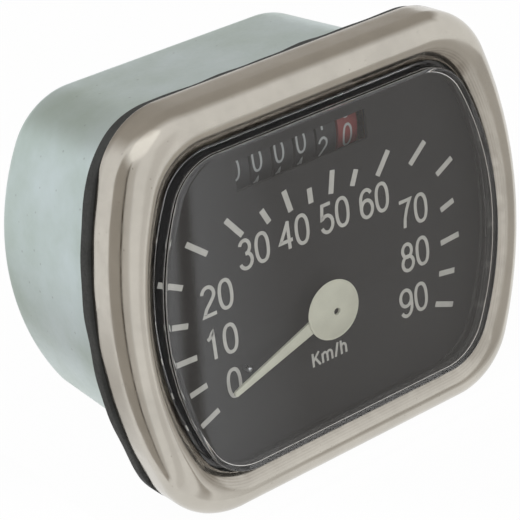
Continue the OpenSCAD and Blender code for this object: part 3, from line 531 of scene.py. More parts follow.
def mark_tree():
    """Bars on points, each turned and stretched by its point's own attributes."""
    tree, given, result = geometry_tree(
        "Dial marks", {"Width": "NodeSocketFloat", "Ink": "NodeSocketFloat", "Finish": "NodeSocketMaterial"})
    turn = add(tree, "GeometryNodeInputNamedAttribute", {"Name": "turn"}, data_type="FLOAT")
    reach = add(tree, "GeometryNodeInputNamedAttribute", {"Name": "reach"}, data_type="FLOAT")
    bar = add(tree, "GeometryNodeMeshCube")
    size = add(tree, "ShaderNodeCombineXYZ", links={
        "X": given["Width"], "Y": given["Ink"], "Z": reach.outputs["Attribute"]})
    facing = add(tree, "FunctionNodeAxisAngleToRotation", {"Axis": (0, 1, 0)}, {
        "Angle": turn.outputs["Attribute"]})
    bars = add(tree, "GeometryNodeInstanceOnPoints", links={
        "Points": given["Geometry"], "Instance": bar.outputs["Mesh"],
        "Rotation": facing.outputs["Rotation"], "Scale": size.outputs["Vector"]})
    real = add(tree, "GeometryNodeRealizeInstances", links={"Geometry": bars.outputs["Instances"]})
    inked = add(tree, "GeometryNodeSetMaterial", links={
        "Geometry": real.outputs["Geometry"], "Material": given["Finish"]})
    tree.links.new(inked.outputs["Geometry"], result["Geometry"])
    return tree


def row_tree():
    """Copies of the seed in a row."""
    tree, given, result = geometry_tree("Row of copies", {
        "Count": "NodeSocketInt", "Start": "NodeSocketVector", "Step": "NodeSocketVector",
        "Finish": "NodeSocketMaterial"})
    line = add(tree, "GeometryNodeMeshLine", links={
        "Count": given["Count"], "Start Location": given["Start"], "Offset": given["Step"]})
    copies = add(tree, "GeometryNodeInstanceOnPoints", links={
        "Points": line.outputs["Mesh"], "Instance": given["Geometry"]})
    real = add(tree, "GeometryNodeRealizeInstances", links={"Geometry": copies.outputs["Instances"]})
    done = add(tree, "GeometryNodeSetMaterial", links={
        "Geometry": real.outputs["Geometry"], "Material": given["Finish"]})
    tree.links.new(done.outputs["Geometry"], result["Geometry"])
    return tree


# Finishes

def surface(name, base, other, patch, grain, rough, metallic=0.0, relief=0.0):
    """A surface whose colour drifts between two tones in patches and whose gloss and relief follow a grain.

    Patch, grain and relief are in millimetres, rough is the least and most roughness. Grains finer than
    about 0.3 mm, such as tool marks, are drawn at that size so that they show.
    Returns the material, its tree, its shader, its coordinates in millimetres and its colour.
    """
    material = bpy.data.materials.new(name)
    material.use_nodes = True
    tree = material.node_tree
    shader = tree.nodes["Principled BSDF"]
    shader.inputs["Metallic"].default_value = metallic
    place = add(tree, "ShaderNodeTexCoord").outputs["Object"]
    size = add(tree, "ShaderNodeVectorMath", {"Scale": 1 / MM}, {0: place}, operation="SCALE").outputs[0]
    drift = add(tree, "ShaderNodeTexNoise", {"Scale": 1 / patch, "Detail": 4}, {"Vector": size})
    share = add(tree, "ShaderNodeMapRange", NOISE_SPAN, {"Value": drift.outputs[0]})
    colour = add(tree, "ShaderNodeMix", {6: (*base, 1), 7: (*other, 1)}, {0: share.outputs[0]},
                 data_type="RGBA").outputs[2]
    fine = add(tree, "ShaderNodeTexNoise", {"Scale": 1 / grain, "Detail": 3}, {"Vector": size})
    gloss = add(tree, "ShaderNodeMapRange", {**NOISE_SPAN, "To Min": rough[0], "To Max": rough[1]}, {
        "Value": fine.outputs[0]})
    tree.links.new(colour, shader.inputs["Base Color"])
    tree.links.new(gloss.outputs[0], shader.inputs["Roughness"])
    if relief:
        bump = add(tree, "ShaderNodeBump", {"Strength": 1, "Distance": relief * MM}, {
            "Height": fine.outputs[0]})
        tree.links.new(bump.outputs["Normal"], shader.inputs["Normal"])
    return material, tree, shader, size, colour


def shade(code, factor):
    """A tint made darker or lighter."""
    return tuple(min(1, c * factor) for c in code)


def nickel_plate():
    # Nickel-plated steel, polished and old: warm bright reflections, brown tarnish by the lip, and pits that
    # are drawn about 0.2 mm wide so that they show
    tints = bpy.context.scene.speedometer_tints
    material, tree, shader, size, colour = surface(
        "nickel_plate", tints.nickel, shade(tints.nickel, 0.88), patch=8, grain=2, rough=(0.12, 0.22),
        metallic=1)
    worn = add(tree, "ShaderNodeAttribute", attribute_name="tarnish")
    patchy = add(tree, "ShaderNodeTexNoise", {"Scale": 1 / BLOTCH, "Detail": 4}, {"Vector": size})
    depth = add(tree, "ShaderNodeMapRange", {
        "From Min": 0.25, "From Max": 0.6, "To Min": 0.45, "To Max": 1}, {"Value": patchy.outputs[0]})
    lip = add(tree, "ShaderNodeMath", links={0: worn.outputs["Fac"], 1: depth.outputs[0]},
              operation="MULTIPLY", use_clamp=True)
    pits = add(tree, "ShaderNodeTexVoronoi", {"Scale": 1 / PIT_SPACING, "Randomness": 1}, {"Vector": size})
    speck = add(tree, "ShaderNodeMapRange", {
        "From Min": 0.03, "From Max": 0.08, "To Min": 0.5, "To Max": 0}, {
        "Value": pits.outputs["Distance"]})
    share = add(tree, "ShaderNodeMath", links={0: lip.outputs[0], 1: speck.outputs[0]}, operation="MAXIMUM")
    brown = add(tree, "ShaderNodeMix", {7: (*tints.tarnish, 1)}, {0: share.outputs[0], 6: colour},
                data_type="RGBA")
    tree.links.new(brown.outputs[2], shader.inputs["Base Color"])
    pit = add(tree, "ShaderNodeMapRange", {"From Min": 0.04, "From Max": 0.13}, {
        "Value": pits.outputs["Distance"]})
    wave = add(tree, "ShaderNodeTexNoise", {"Scale": 1 / WAVE, "Detail": 1}, {"Vector": size})
    ripple = add(tree, "ShaderNodeBump", {"Strength": 1, "Distance": WAVE_HEIGHT * MM}, {
        "Height": wave.outputs[0]})
    pitted = add(tree, "ShaderNodeBump", {"Strength": 0.5, "Distance": PIT_DEPTH * MM}, {
        "Height": pit.outputs[0], "Normal": ripple.outputs["Normal"]})
    tree.links.new(pitted.outputs["Normal"], shader.inputs["Normal"])
    return material


def zinc_plate():
    # Zinc-plated pressed steel: bluish-white soft sheen, greener passivated patches, fine grain, dark specks
    tints = bpy.context.scene.speedometer_tints
    material, tree, shader, size, colour = surface(
        "zinc_plate", tints.zinc, tints.zinc_green, patch=16, grain=0.9, rough=(0.32, 0.42), metallic=0.75,
        relief=0.004)
    cells = add(tree, "ShaderNodeTexVoronoi", {"Scale": 1 / SPECK_SPACING}, {"Vector": size})
    speck = add(tree, "ShaderNodeMapRange", {
        "From Min": 0.05, "From Max": 0.09, "To Min": 0.45, "To Max": 0}, {
        "Value": cells.outputs["Distance"]})
    spotted = add(tree, "ShaderNodeMix", {7: (*shade(tints.zinc, 0.4), 1)}, {0: speck.outputs[0], 6: colour},
                  data_type="RGBA")
    tree.links.new(spotted.outputs[2], shader.inputs["Base Color"])
    return material


def clear_acrylic():
    # Moulded acrylic: clear, glossy, with a faint haze; lamp light passes straight through to the dial
    material = bpy.data.materials.new("clear_acrylic")
    material.use_nodes = True
    tree = material.node_tree
    shader = tree.nodes["Principled BSDF"]
    shader.inputs["Base Color"].default_value = (1, 1, 1, 1)
    shader.inputs["Roughness"].default_value = 0.02
    shader.inputs["IOR"].default_value = 1.49
    shader.inputs["Transmission Weight"].default_value = 1
    path = add(tree, "ShaderNodeLightPath").outputs
    passing = add(tree, "ShaderNodeMath", links={0: path["Is Shadow Ray"], 1: path["Is Diffuse Ray"]},
                  operation="MAXIMUM")
    open_way = add(tree, "ShaderNodeBsdfTransparent")
    either = add(tree, "ShaderNodeMixShader", links={
        0: passing.outputs[0], 1: shader.outputs[0], 2: open_way.outputs[0]})
    tree.links.new(either.outputs[0], tree.nodes["Material Output"].inputs["Surface"])
    return material


def black_rubber():
    # Moulded nitrile rubber: dull black with a dusty bloom and a fine pebbled skin
    rubber = bpy.context.scene.speedometer_tints.rubber
    return surface(
        "black_rubber", rubber, shade(rubber, 1.8), patch=5, grain=0.5, rough=(0.6, 0.85), relief=0.02)[0]


def dial_enamel():
    # Matt stoving enamel on sheet: near-black with a faint dusty drift and an uneven sprayed gloss
    dial = bpy.context.scene.speedometer_tints.dial
    material, _, shader, *_ = surface(
        "dial_enamel", dial, shade(dial, 1.25), patch=11, grain=0.35, rough=(0.62, 0.8))
    shader.inputs["Specular IOR Level"].default_value = 0.25
    return material


def printed_ink(name, colour):
    # Screen-printed ink: flat pale coat, slightly uneven where it dried
    return surface(name, colour, shade(colour, 0.86), patch=1.6, grain=0.4, rough=(0.6, 0.8), relief=0.004)[0]


def cream_enamel():
    # Sprayed enamel on the needle and hub: aged cream-grey, satin, a little blotched
    cream = bpy.context.scene.speedometer_tints.cream
    return surface(
        "cream_enamel", cream, shade(cream, 0.9), patch=3, grain=0.6, rough=(0.45, 0.6), relief=0.006)[0]


def drum_plastic(name, colour):
    # Moulded styrene number drum: even colour, satin from the mould
    return surface(name, colour, shade(colour, 1.3), patch=4, grain=0.5, rough=(0.5, 0.65), relief=0.006)[0]


def bulb_glass():
    # Blown bulb glass: clear with a faint smoky drift
    material, _, shader, *_ = surface(
        "bulb_glass", linear("#EEF2F2"), linear("#DDE3E4"), patch=4, grain=0.8, rough=(0.02, 0.06))
    shader.inputs["Transmission Weight"].default_value = 0.9
    shader.inputs["IOR"].default_value = 1.5
    return material


def seen_directly(tree):
    """1 for rays from the camera and for those that metal or glass sends on."""
    path = add(tree, "ShaderNodeLightPath").outputs
    first = add(tree, "ShaderNodeMath", links={0: path["Is Camera Ray"], 1: path["Is Glossy Ray"]},
                operation="MAXIMUM")
    return add(tree, "ShaderNodeMath", links={0: first.outputs[0], 1: path["Is Transmission Ray"]},
               operation="MAXIMUM").outputs[0]


def floor_paint(stage):
    # Matt white paint: white to the camera and in reflections, with a faint shadow
    material = bpy.data.materials.new("floor_paint")
    material.use_nodes = True
    tree = material.node_tree
    paint = tree.nodes["Principled BSDF"]
    paint.inputs["Base Color"].default_value = (*stage.floor_tint, 1)
    paint.inputs["Roughness"].default_value = 0.9
    share = add(tree, "ShaderNodeMath", {1: stage.floor_white}, {0: seen_directly(tree)},
                operation="MULTIPLY")
    glow = add(tree, "ShaderNodeEmission", {"Color": (1, 1, 1, 1), "Strength": 1})
    mixed = add(tree, "ShaderNodeMixShader", links={
        0: share.outputs[0], 1: paint.outputs[0], 2: glow.outputs[0]})
    tree.links.new(mixed.outputs[0], tree.nodes["Material Output"].inputs["Surface"])
    return material


def card_paint(stage):
    # Glowing toned card with soft edges, seen only in reflections as a painted reflection: its level runs
    # from the dark line over grey to white
    material = bpy.data.materials.new("card_paint")
    material.use_nodes = True
    tree = material.node_tree
    level = add(tree, "ShaderNodeAttribute", attribute_name="level")
    tone = add(tree, "ShaderNodeValToRGB", links={"Fac": level.outputs["Fac"]})
    tone.color_ramp.elements[0].color = (*stage.reflected_line_tint, 1)
    tone.color_ramp.elements[1].color = (1, 1, 1, 1)
    tone.color_ramp.elements.new(0.5).color = (*stage.card_tint, 1)
    glow = add(tree, "ShaderNodeEmission", {"Strength": 1}, {"Color": tone.outputs["Color"]})
    tree.links.new(glow.outputs[0], tree.nodes["Material Output"].inputs["Surface"])
    return material


# Finishes of the pieces inside the case and behind it: material, tint, share of it in the other tone, then
# patch, grain, roughness, metallic and relief as surface takes them
INNER_FINISHES = {
    # Turned steel: grey, bright, with fine tool marks
    "bright_steel": ("turned_steel", "steel", 0.85, 5, 0.3, (0.22, 0.36), 1, 0.003),
    # Blued steel of the pointer's spindle: nearly black, with a satin gloss
    "blued_steel": ("blued_steel", "blued", 1.5, 3, 0.3, (0.35, 0.5), 1, 0.003),
    # Zinc-plated fasteners: pale, silky
    "zinc_steel": ("plated_fastener", "zinc_steel", 0.8, 3, 0.4, (0.28, 0.42), 1, 0.004),
    # Turned and stamped brass: warm yellow, slightly dulled
    "brass": ("turned_brass", "brass", 0.72, 4, 0.3, (0.22, 0.4), 1, 0.003),
    # Spun aluminium: pale and soft
    "cup_aluminium": ("spun_aluminium", "aluminium", 0.9, 6, 0.3, (0.3, 0.42), 1, 0.003),
    # Die-cast zinc alloy: grey with a coarse, dull cast skin
    "die_cast": ("die_cast_zinc", "die_cast", 0.8, 4, 0.6, (0.4, 0.6), 1, 0.012),
    # Drawn steel keeper: darker than the turned pieces
    "keeper_steel": ("drawn_steel", "drawn", 0.8, 6, 0.4, (0.3, 0.45), 1, 0.004),
    # Sintered magnet: dark, dull, granular
    "magnet_iron": ("sintered_magnet", "magnet", 1.6, 2, 0.4, (0.6, 0.8), 0, 0.02),
    # Moulded nylon: waxy off-white
    "pale_nylon": ("moulded_nylon", "nylon", 0.9, 3, 0.5, (0.4, 0.55), 0, 0.004),
}


def inner_finish(kind):
    """One of the finishes in the table, made when it is first asked for."""
    name, colour, drift, *pattern = INNER_FINISHES[kind]
    base = getattr(bpy.context.scene.speedometer_tints, colour)
    return bpy.data.materials.get(name) or surface(name, base, shade(base, drift), *pattern)[0]


# Strokes of the printed characters

def arc(x, y, across, up, start, end, square=1.0):
    """Points along an ellipse, with angles in degrees; a square below 1 fills out its corners."""
    turns = np.radians(np.linspace(start, end, max(5, round(abs(end - start) / 10))))
    return [(x + across * math.copysign(abs(math.cos(t)) ** square, math.cos(t)),
             y + up * math.copysign(abs(math.sin(t)) ** square, math.sin(t))) for t in turns]


# Middle lines of the strokes, in shares of the character's height
CHARACTERS = {
    "0": [arc(0.27, 0.5, 0.24, 0.5, 90, 450, 0.85)],
    "1": [[(0.06, 0.76), (0.17, 0.82), (0.27, 0.98), (0.29, 1.0), (0.29, 0)]],
    "2": [arc(0.265, 0.74, 0.235, 0.26, 170, -25) + [(0.4, 0.52), (0.13, 0.22), (0.03, 0), (0.52, 0)]],
    "3": [arc(0.26, 0.755, 0.2, 0.245, 160, -90), arc(0.26, 0.27, 0.24, 0.27, 85, -165)],
    "4": [[(0.38, 0), (0.38, 1)], [(0.4, 0.99), (0.02, 0.3), (0.53, 0.3)]],
    "5": [[(0.48, 1), (0.13, 1), (0.07, 0.52)] + arc(0.27, 0.3, 0.24, 0.3, 130, -160)],
    "6": [arc(0.27, 0.31, 0.24, 0.31, 0, 360), arc(0.285, 0.62, 0.255, 0.38, 35, 180) + [(0.03, 0.31)]],
    "7": [[(0.02, 1), (0.5, 1), (0.33, 0.68), (0.22, 0.34), (0.18, 0)]],
    "8": [arc(0.27, 0.755, 0.2, 0.245, 90, 450), arc(0.27, 0.27, 0.24, 0.27, 90, 450)],
    "9": [arc(0.27, 0.69, 0.24, 0.31, 0, 360), arc(0.255, 0.38, 0.255, 0.38, 215, 360) + [(0.51, 0.69)]],
    "K": [[(0.05, 0), (0.05, 1)], [(0.58, 1), (0.07, 0.42)], [(0.24, 0.61), (0.62, 0)]],
    "m": [[(0.05, 0), (0.05, 0.72)], arc(0.25, 0.47, 0.2, 0.25, 180, 0) + [(0.45, 0)],
          arc(0.65, 0.47, 0.2, 0.25, 180, 0) + [(0.85, 0)]],
    "/": [[(0.0, 0), (0.27, 1)]],
    "h": [[(0.05, 0), (0.05, 1)], arc(0.25, 0.46, 0.2, 0.26, 180, 0) + [(0.45, 0)]],
}
ADVANCE = {"K": 0.8, "m": 1.12, "/": 0.48, "h": 0.56}
DIGIT_ADVANCE = 0.68
# Width of a digit or letter that ends a text
DIGIT_WIDTH = 0.54
LETTER_WIDTH = 0.5
# Overlapping strokes of one character lie this share of the ink below each other
LAYER_STEP = 0.15
# A stroke's corners are drawn out to no more than 1 over this share of its width
MITRE_LEAST = 0.5


def dense(line, step=0.07):
    """A line with points added so that it can bend round a drum."""
    points = [line[0]]
    for a, b in zip(line, line[1:]):
        pieces = max(1, math.ceil(math.dist(a, b) / step))
        points += [(a[0] + (b[0] - a[0]) * k / pieces, a[1] + (b[1] - a[1]) * k / pieces)
                   for k in range(1, pieces + 1)]
    return np.array(points)


def stroke_slab(line, width, top, to_place):
    """A stroke as a thin closed slab; to_place turns (across, up, share of the ink) into points."""
    ahead = np.diff(line, axis=0)
    ahead /= np.linalg.norm(ahead, axis=1)[:, None]
    closed = np.allclose(line[0], line[-1])
    before = np.vstack([ahead[-1:] if closed else ahead[:1], ahead])
    after = np.vstack([ahead, ahead[:1] if closed else ahead[-1:]])
    mean = before + after
    mean /= np.linalg.norm(mean, axis=1)[:, None]
    square = np.column_stack([-mean[:, 1], mean[:, 0]])
    spread = width / 2 / np.maximum(MITRE_LEAST, np.abs((mean * after).sum(1)))
    left, right = line + square * spread[:, None], line - square * spread[:, None]
    rings = []
    for a, b in zip(left, right):
        corners = ((a, top), (b, top), (b, 0), (a, 0))
        rings.append(np.array([to_place(*place, out) for place, out in corners]))
    return loft("stroke", rings[:-1] if closed else rings, closed)


def lettering(name, text, height, stroke, to_place):
    """Characters as slabs, centred on the middle of the text."""
    advances = [ADVANCE.get(c, DIGIT_ADVANCE) for c in text]
    scale = height - stroke
    last = DIGIT_WIDTH if text[-1].isdigit() else LETTER_WIDTH
    left = -(sum(advances) - advances[-1] + last) * scale / 2
    slabs = []
    for character, advance in zip(text, advances):
        for layer, line in enumerate(CHARACTERS[character]):
            placed = dense(line) * scale + (left, -scale / 2)
            slabs.append(stroke_slab(placed, stroke, 1 - LAYER_STEP * layer, to_place))
        left += advance * scale
    return joined(name, slabs)


# Operators, one for each piece or group of like pieces

# How far the drilled holes reach either way from the case's back
DRILL_REACH = 3 * MM


class SPEEDOMETER_OT_case(bpy.types.Operator):
    """Pressed case with a rounded rear edge and holes for the fittings"""
    bl_idname = "speedometer.case"
    bl_label = "Case"

    def skin(self, case, depth):
        """Rings from the front to the back of the skin that lies this deep in the sheet."""
        front, back = CASE_LOW.y, CASE_HIGH.y
        edge = case.rear_edge - depth
        last = back - depth

        def drawn(distance, y):
            taper = case.taper * (y - front) / (back - front)
            return at_depth(case_line(depth + taper + distance), y)

        rings = [drawn(0, y) for y in np.linspace(front + case.wall, last - edge, 12, endpoint=False)]
        rings += [drawn(side, last - behind) for side, behind in rounding(edge, 15)]
        rings.append(drawn(edge + case.rear_land, last))
        return rings

    def execute(self, context):
        case = context.scene.speedometer_case
        rear = context.scene.speedometer_rear
        front, back = CASE_LOW.y, CASE_HIGH.y
        flange = context.scene.speedometer_bezel.sheet + case.rim_gap
        rim = [at_depth(case_line(case.wall), front), ring(flange, front), ring(flange, front + case.wall)]
        mesh = loft("case", self.skin(case, case.wall)[::-1] + rim + self.skin(case, 0))
        lamp = middle_of("lamp_bulb")
        stud_hole = rear.stud_root + rear.hole_gap
        half = rear.stud_spacing / 2
        holes = [(case.neck_hole, 0, 0), (case.lamp_hole, lamp.x, lamp.z),
                 (stud_hole, half, 0), (stud_hole, -half, 0)]
        mesh = drilled("case", mesh, holes, back - DRILL_REACH, back + DRILL_REACH)
        put("case", mesh, zinc_plate(), "housing", "zinc_plate", "case_shell")
        return {"FINISHED"}


class SPEEDOMETER_OT_bezel(bpy.types.Operator):
    """Bezel with a rounded edge, a front slope, a rolled lip and a rear curl"""
    bl_idname = "speedometer.bezel"
    bl_label = "Bezel"

    def section(self, bezel, depth):
        """Points of the section: inset, height over the rear edge, tarnish."""
        slope = bezel.lip_in - bezel.crest_in
        lean = math.atan(bezel.lip_drop * FACE_BEND / slope)
        roll = bezel.lip_roll
        sheet = bezel.sheet

        def face(distance):
            return depth - bezel.lip_drop * ((distance - bezel.crest_in) / slope) ** FACE_BEND

        def shoulder(skin, steps):
            turns = np.linspace(0, math.pi / 2, steps)
            return [(skin + (bezel.crest_in - skin) * (1 - math.sin(t)),
                     depth - skin - (bezel.edge - skin) * (1 - math.cos(t))) for t in turns]

        face_end = bezel.lip_in - roll * (1 - math.sin(lean))
        roll_in = face_end - roll * math.sin(lean)
        roll_up = face(face_end) - roll * math.cos(lean)
        points = []
        for t in np.linspace(-math.pi / 2, math.pi / 2 - lean, 10, endpoint=False):
            points.append((roll_in + roll * math.cos(t), roll_up + roll * math.sin(t), ROLL_STAIN))
        for share, stain in zip(np.linspace(1, 0, len(LIP_STAINS)), LIP_STAINS):
            distance = bezel.crest_in + (face_end - bezel.crest_in) * share
            points.append((distance, face(distance), stain))
        points += [(side, up, 0) for side, up in shoulder(0, 26)[1:]]
        points += [(0, (depth - bezel.edge) * share, 0) for share in (0.66, 0.33)]
        points += [(side, up, BACK_STAIN) for side, up in rounding(bezel.back_edge, 5)]
        points += [(bezel.curl_in, 0, CURL_STAIN), (bezel.curl_in, sheet, CURL_STAIN)]
        points.append((sheet, sheet + bezel.back_edge, BACK_STAIN))
        points += [(side, up, BACK_STAIN) for side, up in shoulder(sheet, 12)[::-1]]
        for share in np.linspace(0.2, 1, 6):
            distance = bezel.crest_in + (roll_in - bezel.crest_in) * share
            points.append((distance, face(distance) - sheet, UNDER_STAIN))
        return points

    def execute(self, context):
        bezel = context.scene.speedometer_bezel
        rear = BEZEL_HIGH.y
        section = self.section(bezel, rear - BEZEL_LOW.y)
        mesh = loft("bezel", [ring(side, rear - up) for side, up, _ in section], closed=True, crease=50)
        # Tarnish gathers at the upper left
        around = inset(0)
        aslant = (around[:, 1] - MID_Z) / bezel.height - around[:, 0] / bezel.width
        worn = np.outer([stain for *_, stain in section], np.clip(WORN_MIDDLE + aslant, WORN_LEAST, 1))
        set_values(mesh, "tarnish", worn.ravel())
        put("bezel", mesh, nickel_plate(), "housing", "nickel_bezel", "bezel_ring")
        return {"FINISHED"}


# Waves of the panel rubber's hand-cut edge: how many go round, and phase
RUBBER_WAVES = ((5, 0.4), (9, 2.1), (16, 4.0), (27, 1.2))


class SPEEDOMETER_OT_rubbers(bpy.types.Operator):
    """Panel rubber with a hand-cut outer edge, and the ring behind the lens"""
    bl_idname = "speedometer.rubbers"
    bl_label = "Rubber rings"

    def execute(self, context):
        sizes = context.scene.speedometer_rubbers
        rubber = black_rubber()
        outer = outline(-sizes.side_out, sizes.top_in, context.scene.speedometer_bezel.corner)
        arms = outer - (0, MID_Z)
        turns = np.arctan2(arms[:, 1], arms[:, 0])
        wander = sum(np.sin(count * turns + phase) for count, phase in RUBBER_WAVES) / len(RUBBER_WAVES)
        away = arms / np.linalg.norm(arms, axis=1)[:, None]
        cut = outer + away * (sizes.wave * (wander - 1) / 2)[:, None]
        low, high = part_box("panel_gasket")
        mesh = flat_plate("panel_rubber", [cut, case_line(-sizes.gap)], low.y, high.y, sizes.edge)
        put("panel_rubber", mesh, rubber, "housing", "black_rubber", "panel_gasket")
        low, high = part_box("lens_gasket")
        loops = [inset(sizes.ring_from), inset(sizes.ring_to)]
        mesh = flat_plate("lens_rubber", loops, low.y, high.y, sizes.ring_edge)
        put("lens_rubber", mesh, rubber, "housing", "black_rubber", "lens_gasket")
        return {"FINISHED"}


class SPEEDOMETER_OT_lens(bpy.types.Operator):
    """Clear lens with a raised, round-edged front and a flange"""
    bl_idname = "speedometer.lens"
    bl_label = "Lens"

    def execute(self, context):
        lens = context.scene.speedometer_lens
        front, back = LENS_LOW.y, LENS_HIGH.y
        inner = front + lens.front
        flange_front = back - lens.flange_depth
        raised = context.scene.speedometer_bezel.lip_in + lens.gap
        hollow = raised + lens.side
        rim = raised - lens.flange
        section = [(raised + lens.edge + lens.land, front)]
        section += [(raised + side, front + behind) for side, behind in rounding(lens.edge, 12)[::-1]]
        section += [(raised, flange_front - lens.foot), (raised - lens.foot, flange_front),
                    (rim, flange_front), (rim, back), (hollow, back)]
        section += [(hollow + side, inner + behind) for side, behind in rounding(lens.fillet, 10)]
        section.append((hollow + lens.fillet + lens.land, inner))
        mesh = loft("lens", [ring(distance, y) for distance, y in section])
        put("lens", mesh, clear_acrylic(), "housing", "clear_lens", "lens")
        return {"FINISHED"}


# Marks from 0 to the middle one: the inner end's distance from the pointer axis, and the length, both in
# millimetres
MARKS = ((27.5, 4.5), (27.5, 3.8), (28.3, 4.5), (30.1, 3.4), (32.7, 4.4),
         (30.1, 5.1), (25.2, 5.0), (22.3, 3.1), (21.0, 4.4), (20.4, 2.9))
# Numerals with their middles beside and above the pointer axis, in millimetres
NUMERALS = (("0", -21.4, -6.7), ("10", -22.7, 2.0), ("20", -22.4, 10.6), ("30", -13.5, 16.2),
            ("40", -4.6, 16.3), ("50", 4.6, 16.3), ("60", 13.8, 15.8), ("70", 22.5, 10.5),
            ("80", 21.9, 1.9), ("90", 20.5, -7.1))
UNIT_PLACE = (-0.15, -9.7)
# Head of a dial rivet: share of its radius, and depth below its top in millimetres
RIVET_HEAD = ((0.86, 0), (0.97, 0.06), (1, 0.2))
# Where the rest peg's round tip begins, which leaves a tiny flat at its end
PEG_FLAT = 0.1


class SPEEDOMETER_OT_dial(bpy.types.Operator):
    """Dial plate with its window, marks, numerals, unit and rivets"""
    bl_idname = "speedometer.dial"
    bl_label = "Dial"

    def plate(self, dial, enamel):
        """The plate with its holes, and the rest peg in it."""
        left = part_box("drum_ten_thousands")[0].x - dial.window_gap
        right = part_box("drum_tenths")[1].x + dial.window_gap
        middle = middle_of("drum_tenths").z
        low, high = middle - dial.window / 2, middle + dial.window / 2
        window = [(left, low), (right, low), (right, high), (left, high)]
        hole = circle(dial.bore, 0, steps=48)[:, (0, 2)]
        pin_low, pin_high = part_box("rest_pin")
        pin = (pin_low + pin_high) / 2
        pin_r = (pin_high.x - pin_low.x) / 2
        pin_hole = circle(pin_r + dial.pin_gap, 0, pin.x, pin.z, steps=32)[:, (0, 2)]
        loops = [inset(dial.plate_in), window, hole, pin_hole]
        mesh = flat_plate("dial", loops, DIAL_LOW.y, DIAL_HIGH.y, dial.edge)
        put("dial", mesh, enamel, "housing", "dial_black", "dial_plate")
        tip = [(pin_r * math.sin(t), pin_low.y + pin_r * (1 - math.cos(t)))
               for t in np.linspace(PEG_FLAT, math.pi / 2, 8)]
        peg = loft("rest_peg", [circle(r, y, pin.x, pin.z, 48) for r, y in (*tip, (pin_r, pin_high.y))])
        put("rest_peg", peg, inner_finish("bright_steel"), "housing", "bright_steel", "rest_pin")

    def rivets(self, dial, enamel):
        """Heads of the two rivets, just under the enamel."""
        low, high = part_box("dial_rivets")
        top = low.y + 2 * dial.ink
        radius = (high.z - low.z) / 2
        head = [(radius * share, top + below * MM) for share, below in RIVET_HEAD]
        head.append((radius, high.y))
        rivet = loft("rivet", [circle(r, y, steps=48) for r, y in head])
        spacing = high.x - low.x - 2 * radius
        start = (-spacing / 2, 0, low.z + radius)
        mesh = grown("dial_rivet_pair", rivet, row_tree(), {
            "Count": 2, "Start": start, "Step": (spacing, 0, 0), "Finish": enamel})
        put("dial_rivet_pair", mesh, None, "housing", "dial_black", "dial_rivets")

    def marks(self, dial, ink):
        """Bars round the scale, whose second half mirrors the first."""
        places, turns, reaches = [], [], []
        for k, (inner, reach) in enumerate(MARKS + MARKS[-2::-1]):
            heading = math.pi + dial.first - k * dial.sweep
            out = (inner + reach / 2) * MM
            places.append((out * math.cos(heading), DIAL_LOW.y - dial.ink / 2, out * math.sin(heading)))
            turns.append(math.pi / 2 - heading)
            reaches.append(reach * MM)
        seed = bpy.data.meshes.new("mark_points")
        seed.from_pydata(places, [], [])
        set_values(seed, "turn", turns)
        set_values(seed, "reach", reaches)
        mesh = grown("dial_marks", seed, mark_tree(), {"Width": dial.mark, "Ink": dial.ink, "Finish": ink})
        put("dial_marks", mesh, None, "housing", "cream_paint")

    def execute(self, context):
        dial = context.scene.speedometer_dial
        enamel = dial_enamel()
        ink = printed_ink("dial_ink", context.scene.speedometer_tints.ink)
        self.plate(dial, enamel)
        self.rivets(dial, enamel)
        self.marks(dial, ink)

        def on_dial(x, z):
            return lambda across, up, out: (x * MM + across, DIAL_LOW.y - out * dial.ink, z * MM + up)

        numerals = [lettering(text, text, dial.numeral, dial.stroke, on_dial(x, z))
                    for text, x, z in NUMERALS]
        put("dial_numerals", joined("dial_numerals", numerals), ink, "housing", "cream_paint")
        unit = lettering("dial_unit", "Km/h", dial.unit, dial.unit_stroke, on_dial(*UNIT_PLACE))
        put("dial_unit", unit, ink, "housing", "cream_paint")
        return {"FINISHED"}


class SPEEDOMETER_OT_pointer(bpy.types.Operator):
    """Tapered needle and its domed hub"""
    bl_idname = "speedometer.pointer"
    bl_label = "Pointer"

    def needle(self, pointer, cream):
        tip = pointer.tip / 2
        end = pointer.reach - tip
        open_turn = math.asin(pointer.root / 2 / pointer.boss)
        line = [(pointer.boss * math.cos(t), pointer.boss * math.sin(t))
                for t in np.linspace(open_turn, math.tau - open_turn, 40)]
        line += [(end + tip * math.cos(t), tip * math.sin(t))
                 for t in np.linspace(-math.pi / 2, math.pi / 2, 12)]
        along, aside = math.cos(math.pi + pointer.rest), math.sin(math.pi + pointer.rest)
        turned = [(x * along - z * aside, x * aside + z * along) for x, z in line]
        bore = circle(pointer.bore, 0, steps=32)[:, (0, 2)]
        mesh = flat_plate("needle", [turned, bore], NEEDLE_LOW.y, NEEDLE_HIGH.y, pointer.edge)
        put("needle", mesh, cream, "pointer", "cream_paint", "pointer_needle")

    def hub(self, pointer, cream):
        back = HUB_HIGH.y
        bore, corner, mouth = pointer.bore, pointer.hub_edge, pointer.hub_mouth
        radius = (HUB_HIGH.x - HUB_LOW.x) / 2
        rise = back - HUB_LOW.y
        dome = (radius ** 2 + rise ** 2) / (2 * rise)
        section = [(bore, back), (radius - corner, back), (radius, back - corner)]
        for r in np.linspace(radius - corner / 2, bore + mouth, 24):
            section.append((r, back - max(pointer.hub_rim, rise - dome + math.sqrt(dome ** 2 - r ** 2))))
        section.append((bore, section[-1][1] + mouth))
        mesh = loft("hub", turned_rings(section), closed=True)
        put("hub", mesh, cream, "pointer", "cream_paint", "pointer_hub")

    def execute(self, context):
        pointer = context.scene.speedometer_pointer
        cream = cream_enamel()
        self.needle(pointer, cream)
        self.hub(pointer, cream)
        return {"FINISHED"}


